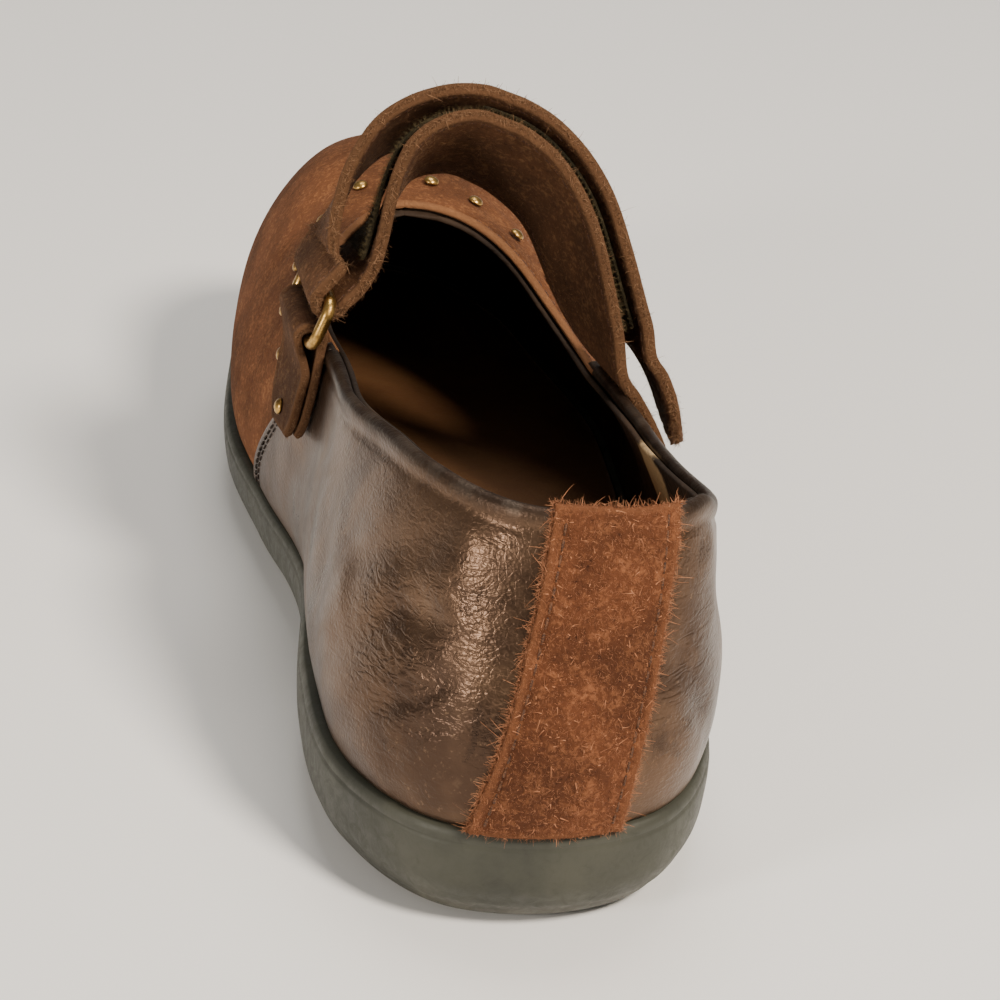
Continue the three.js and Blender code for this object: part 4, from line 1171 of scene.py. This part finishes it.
def quarter_columns():
    def side_columns(side):
        top, foot = (station_at(s) for s in SEAMS[side])
        s = np.arange(1, 35) / 34
        heel = np.stack([s * HEEL_SHARE, s * HEEL_SHARE], 1)
        s = np.arange(1, 111) / 110
        s = np.concatenate([s[:-1], [0.993, 0.9975, 1.0]])
        rest = np.stack([mix(HEEL_SHARE, foot, s), mix(HEEL_SHARE, top, s)], 1)
        return side * np.concatenate([heel, rest])
    medial = side_columns(-1)[::-1]
    return np.concatenate([medial, [[0.0, 0.0]], side_columns(1)])


def seam_line(side):
    top, foot = (side * station_at(s) for s in SEAMS[side])
    v = np.linspace(0, 1, 120)
    w = mix(foot, top, v)
    return w, v * rim_share(w)


def build_quarters():
    columns = quarter_columns()
    v = rows_to_rim(64)[:, None]
    w = mix(columns[None, :, 0], columns[None, :, 1], v)
    t = v * rim_share(w)
    point, normal = last_point(w, t), last_normal(w, t)
    rim = near(point, RIM)
    seams = [last_point(*seam_line(side)) for side in (-1, 1)]
    seam = np.minimum(near(point, seams[0]), near(point, seams[1]))
    around = around_of(w)
    depth = crease_depth(around, point[..., 2], CREASES)
    depth += 0.22 * low_waves(around, point[..., 2], 4, 26)
    calm = smooth(rim / 7) * smooth((point[..., 2] - 13) / 7)
    roll = 0.42 * np.exp(-((rim - 1.4) / 1.3) ** 2) - 0.3 * np.exp(-((rim - 3.6) / 0.6) ** 2)
    ridge = 0.12 * np.exp(-((seam - 0.9) / 0.8) ** 2) - 0.16 * np.exp(-((seam - 2.0) / 0.35) ** 2)
    high, low = QUARTER_LAP - depth * calm + roll + ridge, -0.95
    half = (high - low) / 2
    middle = (high + low) / 2
    part = rounded(rim, 1.1)
    front = rounded(seam, 0.45)
    outer = point + normal * (middle + half * part * (0.25 + 0.75 * front))[..., None]
    inner = point + normal * (middle - half * part)[..., None]
    floor_z = last_point(w, 0 * w)[..., 2] + SEAT_GAP
    outer[..., 2] = np.maximum(outer[..., 2], floor_z)
    inner[..., 2] = np.maximum(inner[..., 2], floor_z)
    creased = np.exp(-((around + 27) / 15) ** 2 - ((point[..., 2] - 42) / 14) ** 2)
    creased += 0.8 * np.exp(-((around - 24) / 12) ** 2 - ((point[..., 2] - 38) / 14) ** 2)
    creased += 0.6 * np.exp(-((np.abs(around) - 88) / 18) ** 2 - ((point[..., 2] - 30) / 12) ** 2)
    slab("quarters", shift(outer), shift(inner), leather, {"rim": rim, "creased": creased},
         ["upper"])


def vamp_columns():
    def side_columns(side):
        seam_top, seam_foot = (station_at(s) for s in SEAMS[side])
        seam_top, seam_foot = seam_top - 0.018, seam_foot - 0.018
        joint = station_at(THROAT_AT)
        start_top = max(station_at(THROAT_START), seam_top)
        start_foot = mix(seam_foot, joint, 0.3)
        rows = []
        for s in np.arange(0, 24) / 24:
            rows.append((mix(seam_foot, start_foot, s), mix(seam_top, start_top, s)))
        for s in np.arange(0, 80) / 80:
            rows.append((mix(start_foot, joint, s), mix(start_top, joint, math.sin(s * math.pi / 2))))
        for s in np.arange(0, 40) / 40:
            rows.append((mix(joint, TOE_SHARE, s),) * 2)
        for s in np.arange(0, 50) / 50:
            rows.append((mix(TOE_SHARE, 1.0, s),) * 2)
        return np.array(rows)
    lateral, medial = side_columns(1), side_columns(-1)
    return np.concatenate([lateral, [[1.0, 1.0]], (2 - medial)[::-1]])


def build_vamp():
    columns = vamp_columns()
    v = rows_to_rim(56)[:, None]
    w = mix(columns[None, :, 0], columns[None, :, 1], v)
    t = v * rim_share(w)
    ahead = np.abs(turn(columns[:, 1])) >= station_at(THROAT_AT) - 1e-9
    t = np.where(ahead[None], v, t)
    point, normal = last_point(w, t), last_normal(w, t)
    rim = near(point, RIM)
    depth = crease_depth(point[..., 0], point[..., 1], VAMP_CREASES)
    depth += 0.3 * low_waves(point[..., 0] * 1.3, point[..., 1] + point[..., 2], 9, 30)
    calm = smooth(rim / 6) * smooth((point[..., 2] - 12) / 8)
    fold = 0.4 * np.exp(-((rim - 0.9) / 0.9) ** 2) - 0.35 * np.exp(-((rim - 2.1) / 0.35) ** 2)
    high, low = -depth * calm + fold - 0.02, -1.0
    half, middle = (high - low) / 2, (high + low) / 2
    part = rounded(rim, 0.8)
    outer = point + normal * (middle + half * part)[..., None]
    inner = point + normal * (middle - half * part)[..., None]
    floor_z = last_point(w, 0 * w)[..., 2] + SEAT_GAP
    outer[..., 2] = np.maximum(outer[..., 2], floor_z)
    inner[..., 2] = np.maximum(inner[..., 2], floor_z)
    slab("vamp", shift(outer), shift(inner), vamp_suede, {"edge": rim * 0.6 + 0.3},
         ["upper"])


def build_lining():
    """The dark lining all round, from heel to toe, and its black edge round the throat."""
    joint = station_at(THROAT_AT)
    u = np.concatenate([np.linspace(0, HEEL_SHARE, 30)[:-1],
                        np.linspace(HEEL_SHARE, joint, 150)[:-1],
                        np.linspace(joint, TOE_SHARE, 30)[:-1], np.linspace(TOE_SHARE, 1, 36)])
    w0 = np.concatenate([u, (2 - u[1:-1])[::-1]])
    v = rows_to_rim(40)[:, None]
    w = np.repeat(w0[None], len(v), 0)
    open_part = np.abs(turn(w0)) < joint - 1e-9
    t = np.where(open_part[None], v * rim_share(w0)[None], v)
    point, normal = last_point(w, t), last_normal(w, t)
    rim = near(point, RIM)
    around = around_of(w)
    part = rounded(rim, 0.5)
    high, low = -1.03, -WALL + 0.02 * (0.15 * low_waves(around, point[..., 2], 12, 22))
    half, middle = (high - low) / 2, (high + low) / 2
    outer = point + normal * (middle + half * part)[..., None]
    inner = point + normal * (middle - half * part)[..., None]
    floor_z = last_point(w, 0 * w)[..., 2] + SEAT_GAP
    drop = 0.5 * np.exp(-rim / 1.5)
    outer[..., 2] = np.maximum(outer[..., 2] - drop, floor_z)
    inner[..., 2] = np.maximum(inner[..., 2] - drop, floor_z)
    # the worn pale patch under the lateral rim
    spot = 1.3 * np.exp(-((point[..., 1] - 56) / 10) ** 2 - ((point[..., 2] - 47) / 5) ** 2)
    spot = spot * (point[..., 0] > 0)
    outer, inner, spot = (np.concatenate([a, a[:, :1]], 1) for a in (outer, inner, spot))
    slab("lining", shift(outer), shift(inner), lining, {"rubbed": spot}, ["upper"])


# ---------------------------------------------------------------- strip on the heel
def station_across(x, t):
    middle = last_point(0 * t, t)[..., 0]
    low, high = np.zeros(np.shape(t)), np.full(np.shape(t), HEEL_SHARE)
    for _ in range(20):
        guess = (low + high) / 2
        near_in = np.abs(last_point(np.sign(x) * guess, t)[..., 0] - middle) < np.abs(x)
        low, high = np.where(near_in, guess, low), np.where(near_in, high, guess)
    return np.sign(x) * low


def clustered(count, half, close=0.7):
    """Places across a band from -1 to 1, closer together at its edges."""
    edge = np.array([0, 0.1, 0.25, 0.45, 0.7]) * close / half
    inside = np.linspace(-1 + close / half, 1 - close / half, count)
    return np.concatenate([-1 + edge, inside, (1 - edge)[::-1]])


def strip_sway(v):
    """How far the middle of the strip lies to the outer side of the heel's."""
    return mix(STRIP_FOOT_SWAY, STRIP_TOP_SWAY, v) + STRIP_BOW * np.sin(np.pi * v)


def strip_grid():
    v = np.linspace(0, 1, 110)
    across = clustered(40, 9.5)
    ragged = np.random.default_rng(7)
    wob = np.cumsum(ragged.normal(size=(2, len(v))), axis=1) * 0.035
    wob -= np.linspace(0, 1, len(v)) * wob[:, -1:]
    half = mix(STRIP_WIDTH, STRIP_TOP_WIDTH, v) / 2
    shares, rows = np.meshgrid(across, v)
    grow = np.where(shares < 0, wob[0][:, None], wob[1][:, None]) * np.abs(shares)
    x = strip_sway(v)[:, None] + shares * (half[:, None] + grow)
    w = station_across(x, rows * rim_share(np.zeros(1))[0])
    low = share_at_height(w, 2 * SEAT_GAP)
    t = mix(low, rim_share(w, -STRIP_RISE), rows)
    return w, t, shares, rows, half


def build_strip():
    w, t, shares, rows, half = strip_grid()
    point, normal = last_point(w, t), last_normal(w, t)
    side = (1 - np.abs(shares)) * half[:, None]
    tall = rows * STRIP_HEIGHT
    edge = np.minimum(side, np.minimum(tall, STRIP_HEIGHT - tall))
    groove = np.exp(-((side - 1.7) / 0.35) ** 2)
    waves = 0.12 * low_waves(shares * 10, tall, 21, 14)
    high = QUARTER_LAP + CURVE_GAP + STRIP_THICKNESS + waves - 0.28 * groove
    low = QUARTER_LAP + CURVE_GAP
    part = 0.35 + 0.65 * rounded(edge, 0.45)
    outer = point + normal * (low + (high - low) * part)[..., None]
    inner = point + normal * (low + 0 * high)[..., None]
    slab("heel_suede", shift(outer), shift(inner), strip_suede, {"edge": edge},
         ["heel_strip"])
    rng = np.random.default_rng(31)
    # fibres all over the face
    top = outer.reshape(-1, 3)
    norm = normal.reshape(-1, 3)
    count = 9000
    pick = rng.integers(0, len(top), count)
    jitter = rng.normal(size=(count, 3)) * 0.25
    roots = top[pick] + jitter - norm[pick] * (jitter * norm[pick]).sum(1, keepdims=True)
    ways = norm[pick] * 0.5 + unit(rng.normal(size=(count, 3))) * 0.9 + np.array([0, 0, -0.25])
    fuzz("strip_nap", shift(roots), ways, rng.uniform(0.25, 0.8, count), rust_fibre, rng,
         0.05, 0.5)
    # worn light strands that lie on the face
    count = 420
    pick = rng.integers(0, len(top), count)
    lying = rng.normal(size=(count, 3))
    lying -= norm[pick] * (lying * norm[pick]).sum(1, keepdims=True)
    fuzz("strip_strands", shift(top[pick] + norm[pick] * 0.08),
         unit(lying) + norm[pick] * 0.12 - [0, 0, 0.3], rng.uniform(0.4, 1.1, count), pale_fibre, rng,
         0.2, 0.8)
    # longer fibres on the cut edges
    cols = w.shape[1]
    edge_rows = []
    for col in (0, cols - 1):
        run = unit(outer[:, col] - outer[:, cols // 2])
        for _ in range(24):
            i = rng.integers(0, len(outer), 110)
            edge_rows.append((mix(outer[i, col], inner[i, col], rng.uniform(0, 0.9, 110)[:, None]), run[i]))
    for row in (0, len(outer) - 1):
        away = np.array([0, 0, 1.0 if row else -0.4])
        for _ in range(6):
            j = rng.integers(0, cols, 60)
            edge_rows.append((mix(outer[row, j], inner[row, j], rng.uniform(0, 0.8, 60)[:, None]),
                              np.repeat(away[None], 60, 0)))
    roots = np.concatenate([a for a, _ in edge_rows])
    ways = np.concatenate([b for _, b in edge_rows])
    ways = ways + rng.normal(size=ways.shape) * 0.5
    lengths = np.minimum(rng.gamma(1.1, 0.24, len(roots)) + 0.2, 2.0)
    fuzz("strip_edge_fibres", shift(roots), ways, lengths, rust_fibre, rng, 0.15, 1.5)
    lines = []
    for sign in (-1, 1):
        v = np.linspace(0.02, 0.975, 160)
        half = mix(STRIP_WIDTH, STRIP_TOP_WIDTH, v) / 2
        x = strip_sway(v) + sign * (half - STRIP_STITCH_INSET)
        sw = station_across(x, v * rim_share(np.zeros(1))[0])
        st = mix(share_at_height(sw, 2 * SEAT_GAP), rim_share(sw, -STRIP_RISE), v)
        high = QUARTER_LAP + CURVE_GAP + STRIP_THICKNESS - 0.2
        lines += stitch_line(shift(off_last(sw, st, high + 0 * st)), last_normal(sw, st),
                             2.25, 1.8, lift=0.02)
    tubes("strip_stitches", lines, 0.2, brown_thread)


# ---------------------------------------------------------------- strap, ring and tab
def on_quarter(side, y, down, lift):
    y, down, lift = np.broadcast_arrays(*(np.asarray(a, float) for a in (y, down, lift)))
    w = side * station_at(y / LENGTH)
    height = by_side(w, TOPLINE, "medial", "lateral", y / LENGTH) * BACK_HEIGHT
    t = share_at_height(w, height - down)
    return off_last(w, t, QUARTER_LAP + lift), last_normal(w, t)


STRAP_REAR = STRAP_AT * LENGTH
BAR_LIFT = 2 * CURVE_GAP + TAB_THICKNESS + WIRE_RADIUS
BAR_HEIGHT = RING_HEIGHT - 2 * WIRE_RADIUS


def ring_frame():
    lower = on_quarter(-1, STRAP_REAR, 0, BAR_LIFT)[0]
    way = unit(on_quarter(-1, STRAP_REAR + STRAP_WIDTH, 0, BAR_LIFT)[0] - lower)
    up = np.array([RING_LEAN, 0, 1.0])
    up = unit(up - way * (up @ way))
    out = unit(np.cross(up, way))
    lower = lower + np.array([0, 0, RING_LIFT])
    return lower, lower + up * BAR_HEIGHT, way, up, out


LOWER_BAR, UPPER_BAR, BAR_WAY, UP_WAY, OUT_WAY = ring_frame()
STRAP_LIFT = CURVE_GAP + STRAP_THICKNESS / 2
FOLD_RADIUS = WIRE_RADIUS + SEAT_GAP + STRAP_THICKNESS / 2


def arch_frames():
    start = on_quarter(1, STRAP_REAR, 0, STRAP_LIFT)[0]
    end = UPPER_BAR - OUT_WAY * FOLD_RADIUS

    def rear(at):
        at = np.asarray(at)
        point = mix(start, end, at[..., None])
        ahead, rise = ARCH.read("ahead", at), ARCH.read("rise", at)
        return point + np.stack([0 * at, ahead * STRAP_WIDTH, rise * STRAP_RISE], -1)

    rows = ARCH.at
    at = [mix(a, b, k / 2) for a, b in zip(rows[1:-1], rows[2:]) for k in range(2)] + [rows[-1]]
    at = np.array(at)
    way = unit(np.stack([ARCH.read("flare", at), 1 + 0 * at, -ARCH.read("drop", at)], -1))
    run = rear(np.minimum(at + 0.01, 1)) - rear(np.maximum(at - 0.01, 0))
    return at, rear(at), way, unit(np.cross(way, run))


ARCH_AT, ARCH_REAR, ARCH_WAY, ARCH_NORMAL = arch_frames()


def layer_gap(at):
    return ARCH.read("apart", at)


def arch_layer(span, lift, shares, inset=0.0):
    keep = (ARCH_AT >= span[0] - 1e-6) & (ARCH_AT <= span[1] + 1e-6)
    at = ARCH_AT[keep]
    move = lift(at) if callable(lift) else np.full(len(at), lift)
    along = mix(inset, STRAP_WIDTH - inset, shares)
    point = (ARCH_REAR[keep][:, None] + ARCH_WAY[keep][:, None] * along[None, :, None]
             + ARCH_NORMAL[keep][:, None] * move[:, None, None])
    return point, np.repeat(ARCH_NORMAL[keep][:, None], len(shares), 1)


def side_layer(start, end, lift, steps, shares):
    down = np.linspace(start, end, steps + 1)
    y = STRAP_REAR + shares * STRAP_WIDTH
    off = lift(down) if callable(lift) else np.full(len(down), lift)
    return on_quarter(1, y[None], down[:, None], off[:, None])


def fold_layer(bar, radius, width, shares, steps=8):
    angle = np.pi * np.arange(steps + 1) / steps
    away = -np.cos(angle)[:, None] * OUT_WAY - np.sin(angle)[:, None] * UP_WAY
    rear = bar + away * radius
    point = rear[:, None] + BAR_WAY[None, None] * (shares * width)[None, :, None]
    return point, np.repeat(-away[:, None], len(shares), 1)


def band_slab(name, point, normal, thickness, material, nodes, steps=6, sway=0.0, radius=0.5):
    """A smooth band through coarse frames, with rounded edges. Returns its fine points,
    normals, outer face and inner face."""
    fine = through(np.concatenate([point, normal], -1), steps)
    point, normal = fine[..., :3], unit(fine[..., 3:])
    gaps = np.linalg.norm(np.diff(point, axis=0), axis=-1)
    run = np.concatenate([np.zeros((1, point.shape[1])), np.cumsum(gaps, 0)])
    across = np.linalg.norm(np.diff(point, axis=1), axis=-1)
    cross = np.concatenate([np.zeros((len(point), 1)), np.cumsum(across, 1)], 1)
    side = np.minimum(cross, cross[:, -1:] - cross)
    edge = np.minimum(side, np.minimum(run, run[-1:] - run))
    waves = sway * low_waves(run, cross, 3, 16)
    half = thickness / 2 * (0.3 + 0.7 * rounded(edge, radius))
    groove = 0.2 * np.exp(-((side - STRAP_STITCH_INSET) / 0.35) ** 2)
    outer = point + normal * (half + waves - groove)[..., None]
    inner = point - normal * (half - waves - groove)[..., None]
    slab(name, shift(outer), shift(inner), material, {"edge": edge}, nodes)
    return point, normal, outer, inner


def strap_shares():
    return (clustered(22, 11.0) + 1) / 2


def strap_frames():
    shares = strap_shares()
    reach = STRAP_HANG + STRAP_TIP

    def far(down):
        return STRAP_LIFT + STRAP_THICKNESS + mix(layer_gap(0.0), TIP_GAP, smooth(down / reach))

    parts = [side_layer(STRAP_ANCHOR, -STRAP_STAND, STRAP_LIFT, 5, shares),
             arch_layer((0, 1), 0.0, shares),
             fold_layer(UPPER_BAR, FOLD_RADIUS, STRAP_WIDTH, shares)]
    upper = arch_layer((0, 1), lambda at: STRAP_THICKNESS + layer_gap(at), shares)
    hang = side_layer(-STRAP_STAND, STRAP_HANG, far, 2, shares)
    tip_point, tip_normal = side_layer(STRAP_HANG, reach, far, 10, shares)
    middle = tip_point[:, len(shares) // 2][:, None]
    share = np.arange(11) / 10
    half = np.sqrt(1 - (0.985 * share) ** 2)[:, None, None]
    tip_point = mix(middle, tip_point, half)
    parts += [(upper[0][::-1], -upper[1][::-1]), (hang[0][:-1], -hang[1][:-1]),
              (tip_point, -tip_normal)]
    return np.concatenate([p for p, _ in parts]), np.concatenate([n for _, n in parts])


def build_strap():
    point, normal = strap_frames()
    point, normal, outer, inner = band_slab(
        "strap_band", point, normal, STRAP_THICKNESS, strap_suede, ["strap"], sway=0.1)
    rng = np.random.default_rng(41)
    rows, cols = point.shape[:2]
    roots, ways = [], []
    count = 5200
    for col in (0, cols - 1):
        away = unit(point[:, col] - point[:, cols // 2])
        i = rng.integers(0, rows, count)
        share = rng.uniform(0, 1, (count, 1))
        roots.append(mix(outer[i, col], inner[i, col], share))
        ways.append(away[i] + rng.normal(size=(count, 3)) * 0.55)
    roots, ways = np.concatenate(roots), np.concatenate(ways)
    lengths = np.minimum(rng.gamma(1.3, 0.24, len(roots)) + 0.15, 1.6)
    fuzz("strap_edge_fibres", shift(roots), ways, lengths, brown_fibre, rng, 0.13, 1.3)
    count = 14000
    i, j = rng.integers(0, rows, count), rng.integers(0, cols, count)
    top = rng.random(count) < 0.5
    roots = np.where(top[:, None], outer[i, j], inner[i, j])
    norm = np.where(top[:, None], normal[i, j], -normal[i, j])
    roots = roots + rng.normal(size=(count, 3)) * 0.12
    fuzz("strap_nap", shift(roots), norm * 0.5 + unit(rng.normal(size=(count, 3))) * 0.9,
         rng.uniform(0.2, 0.6, count), brown_fibre, rng, 0.05, 0.5)
    lines = []
    for share in (STRAP_STITCH_INSET / STRAP_WIDTH, 1 - STRAP_STITCH_INSET / STRAP_WIDTH):
        j = int(np.argmin(np.abs(strap_shares() - share)))
        for face, sign in ((outer, 1), (inner, -1)):
            lines += stitch_line(face[:, j], sign * normal[:, j], 2.4, 1.9, lift=0.0)
    tubes("strap_stitches", [shift(line) for line in lines], 0.15, brown_thread)


def build_fastener():
    shares = (clustered(14, 8.5, 0.4) + 1) / 2
    lift = STRAP_THICKNESS / 2 + CURVE_GAP + PILE_THICKNESS / 2
    point, normal = arch_layer(PILE_SPAN, lift, shares, FASTENER_INSET)
    point, normal, outer, inner = band_slab(
        "pile_band", point, normal, PILE_THICKNESS, pile_cloth,
        ["strap_pile"], steps=4, radius=0.3)
    rng = np.random.default_rng(51)
    count = 12000
    i, j = rng.integers(0, len(point), count), rng.integers(0, point.shape[1], count)
    fuzz("pile_loops", shift(outer[i, j] + rng.normal(size=(count, 3)) * 0.15),
         normal[i, j] + rng.normal(size=(count, 3)) * 0.7, rng.uniform(0.25, 0.7, count),
         olive_fibre, rng, 0.05, 0.9)
    place = lambda at: STRAP_THICKNESS / 2 + layer_gap(at) - CURVE_GAP - HOOK_THICKNESS / 2
    point, normal = arch_layer(HOOK_SPAN, place, shares, FASTENER_INSET)
    point, normal, outer, inner = band_slab(
        "hook_band", point, normal, HOOK_THICKNESS, pile_cloth,
        ["strap_hooks"], steps=4, radius=0.3)
    count = 2500
    i, j = rng.integers(0, len(point), count), rng.integers(0, point.shape[1], count)
    fuzz("hook_rows", shift(inner[i, j]), -normal[i, j] + rng.normal(size=(count, 3)) * 0.2,
         rng.uniform(0.2, 0.32, count), olive_fibre, rng, 0.06, 0.6)


def build_ring():
    long = (STRAP_WIDTH + 2 * RING_PLAY) / 2 + WIRE_RADIUS - RING_CORNER
    tall = BAR_HEIGHT / 2 - RING_CORNER
    middle = (LOWER_BAR + UPPER_BAR) / 2 + BAR_WAY * STRAP_WIDTH / 2
    across = unit(np.cross(BAR_WAY, UP_WAY))
    path, outward = [], []
    for quarter, (u, v) in enumerate(((long, tall), (-long, tall), (-long, -tall), (long, -tall))):
        for i in range(15):
            angle = (quarter + i / 14) * math.pi / 2
            away = BAR_WAY * math.cos(angle) + UP_WAY * math.sin(angle)
            path.append(middle + BAR_WAY * u + UP_WAY * v + away * RING_CORNER)
            outward.append(away)
    path, outward = np.array(path), np.array(outward)
    sides = 20
    points = []
    for centre, away in zip(path, outward):
        for k in range(sides):
            a = 2 * math.pi * k / sides
            points.append(centre + WIRE_RADIUS * (away * math.cos(a) + across * math.sin(a)))
    count = len(path)
    faces = grid_faces(count, sides, wrap=True)
    for k in range(sides):
        n = (k + 1) % sides
        last = (count - 1) * sides
        faces.append((last + k, last + n, n, k))
    piece = make_piece("wire_ring", shift(np.array(points)), faces, brass)
    merge_close(piece)
    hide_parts("ring")


def tab_middle(down):
    share = np.clip((down - TAB_HEM) / (TAB_DROP - TAB_HEM), 0, 1)
    return STRAP_REAR + STRAP_WIDTH / 2 - TAB_TIP_BACK * share


def build_tab():
    shares = (clustered(16, 10.0) + 1) / 2
    spread = shares - 0.5

    def ply(lift):
        steps = np.arange(5) / 4
        down = mix(TAB_DROP, TAB_HEM, steps)[:, None]
        width = mix(TAB_TIP_WIDTH, TAB_WIDTH, np.sqrt(steps))[:, None]
        return on_quarter(-1, tab_middle(down) + spread[None] * width, down, lift)

    inner = ply(CURVE_GAP + TAB_THICKNESS / 2)
    outer = ply(CURVE_GAP + SEAT_GAP + 1.5 * TAB_THICKNESS)
    start = LOWER_BAR + BAR_WAY * (STRAP_WIDTH - TAB_WIDTH) / 2
    around = -(WIRE_RADIUS + CURVE_GAP + TAB_THICKNESS / 2)
    fold = fold_layer(start, around, TAB_WIDTH, shares)
    point = np.concatenate([inner[0], fold[0][::-1], outer[0][::-1]])
    normal = np.concatenate([inner[1], -fold[1][::-1], -outer[1][::-1]])
    point, normal, outer, inner = band_slab(
        "tab_loop", point, normal, TAB_THICKNESS, strap_suede, ["ring_tab"], radius=0.4)
    rng = np.random.default_rng(61)
    rows, cols = point.shape[:2]
    roots, ways = [], []
    count = 900
    for col in (0, cols - 1):
        away = unit(point[:, col] - point[:, cols // 2])
        i = rng.integers(0, rows, count)
        roots.append(mix(outer[i, col], inner[i, col], rng.uniform(0, 1, (count, 1))))
        ways.append(away[i] + rng.normal(size=(count, 3)) * 0.5)
    lengths = np.minimum(rng.gamma(2.0, 0.18, 2 * count) + 0.1, 1.2)
    fuzz("tab_edge_fibres", shift(np.concatenate(roots)), np.concatenate(ways), lengths,
         brown_fibre, rng, 0.05, 0.5)


# ---------------------------------------------------------------- studs and seams
def stud_places():
    places = []
    steps = np.arange(61) / 60
    for side, most in ((1, LATERAL_STUDS), (-1, MEDIAL_STUDS)):
        inset = mix(STUD_INSET, SIDE_INSETS[side], smooth(2 * steps))
        w = side * mix(station_at(THROAT_AT + STUD_INSET / LENGTH), station_at(0.5), steps)
        t = rim_share(w, inset)
        point, normal = off_last(w, t, SEAT_GAP + 0 * t), last_normal(w, t)
        first = STUD_LEAD if side > 0 else STUD_PITCH - STUD_LEAD
        run, count = 0.0, 0
        for i in range(1, 61):
            run += np.linalg.norm(point[i] - point[i - 1])
            if count < most and run >= first + count * STUD_PITCH:
                places.append((point[i], normal[i]))
                count += 1
    top = CURVE_GAP + 2 * SEAT_GAP + 2 * TAB_THICKNESS
    drop = TAB_DROP - TAB_STUD_RISE
    places.append(on_quarter(-1, tab_middle(drop), drop, top))
    return places


def build_studs():
    points, faces = [], []
    for centre, normal in stud_places():
        side = unit(np.cross([0, 1, 0], normal))
        other = np.cross(normal, side)
        base = len(points)
        rows, sides = 9, 24
        for i in range(rows):
            a = (math.pi / 2) * i / (rows - 1)
            radius, height = STUD_RADIUS * math.cos(a), STUD_HEIGHT * math.sin(a)
            for k in range(sides):
                b = 2 * math.pi * k / sides
                away = side * math.cos(b) + other * math.sin(b)
                points.append(centre + normal * (height - 0.1) + away * max(radius, 1e-3))
        faces += grid_faces(rows, sides, base, wrap=True)
        faces.append(tuple(base + k for k in reversed(range(sides))))
    piece = make_piece("studs", shift(np.array(points)), faces, brass)
    merge_close(piece, 1e-8)
    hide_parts(*["stud_%02d" % (i + 1) for i in range(len(stud_places()))])


def build_seams():
    """Stitching round the throat and beside the quarters' front edges."""
    lines = []
    apex = station_at(THROAT_AT)
    for side in (-1, 1):
        w = side * np.linspace(station_at(THROAT_START), apex - 0.002, 200)
        t = rim_share(w, 2.1)
        lines += stitch_line(shift(off_last(w, t, 0 * t - 0.1)), last_normal(w, t), 2.2, 1.7)
    tubes("throat_stitches", lines, 0.16, brown_thread)
    lines = []
    for side in (-1, 1):
        for back in (0.011, 0.02):
            w, t = seam_line(side)
            w = w - side * back
            seam = shift(off_last(w, t * 0.985, QUARTER_LAP + 0 * t))
            lines += stitch_line(seam, last_normal(w, t), 2.1, 1.6)
    tubes("quarter_stitches", lines, 0.15, dark_thread)


# ---------------------------------------------------------------- stage, light and camera
def build_stage():
    bpy.ops.mesh.primitive_plane_add(size=6.0, location=(0, 0, 0))
    floor = bpy.context.object
    floor.name = "floor"
    pale = material("pale floor", Roughness=0.9, Base_Color=(0.86, 0.85, 0.83, 1))[0]
    floor.data.materials.append(pale)
    world = bpy.context.scene.world or bpy.data.worlds.new("studio")
    bpy.context.scene.world = world
    world.use_nodes = True
    sky = world.node_tree.nodes["Background"]
    sky.inputs["Color"].default_value = (1.0, 0.985, 0.96, 1)
    sky.inputs["Strength"].default_value = 0.24


def area_light(name, place, target, size, power, color):
    data = bpy.data.lights.new(name, "AREA")
    data.shape = "DISK"
    data.size = size
    data.energy = power
    data.color = color
    light = bpy.data.objects.new(name, data)
    bpy.context.collection.objects.link(light)
    light.location = place
    light.rotation_euler = (Vector(target) - Vector(place)).to_track_quat("-Z", "Y").to_euler()


def build_lights():
    middle = (0.0, 0.03, 0.04)
    area_light("key", (0.42, -0.6, 0.85), middle, 0.24, 18.0, (1.0, 0.9, 0.78))
    area_light("window", (-0.8, -0.46, 0.36), middle, 0.22, 5.0, (1.0, 0.93, 0.84))
    area_light("top", (0.1, 0.35, 1.0), middle, 0.6, 5.0, (1.0, 0.96, 0.9))


# the camera fitted to the photo: its place, its axes, and its focal length and the turn that
# brings the one shoe to the middle, as shares of the picture's width
CAMERA_PLACE = (-89.3, -392.6 - HEEL_SEAT, 283.1)
CAMERA_AHEAD = (0.1183, 0.8795, -0.461)
CAMERA_RIGHT = (0.9927, -0.1164, 0.0327)
CAMERA_UP = (0.0249, 0.4615, 0.8868)
FOCAL = 3348.3 / 1000
TURN_RIGHT = 0.183
TURN_DOWN = 0.02
SENSOR = 36.0


def build_camera():
    place = Vector(CAMERA_PLACE) * MM
    ahead, right, up = (Vector(way) for way in (CAMERA_AHEAD, CAMERA_RIGHT, CAMERA_UP))
    aim = (ahead * FOCAL + right * TURN_RIGHT - up * TURN_DOWN).normalized()
    side = aim.cross(up).normalized()
    over = side.cross(aim).normalized()
    data = bpy.data.cameras.new("camera")
    data.sensor_width = SENSOR
    data.lens = FOCAL * SENSOR
    data.clip_start = 0.01
    camera = bpy.data.objects.new("camera", data)
    bpy.context.collection.objects.link(camera)
    turned = Matrix((side, over, -aim)).transposed()
    camera.matrix_world = Matrix.Translation(place) @ turned.to_4x4()
    bpy.context.scene.camera = camera


build_camera()
build_sole()
build_sock()
build_quarters()
build_vamp()
build_lining()
build_strip()
build_strap()
build_fastener()
build_ring()
build_tab()
build_studs()
build_seams()
build_stage()
build_lights()
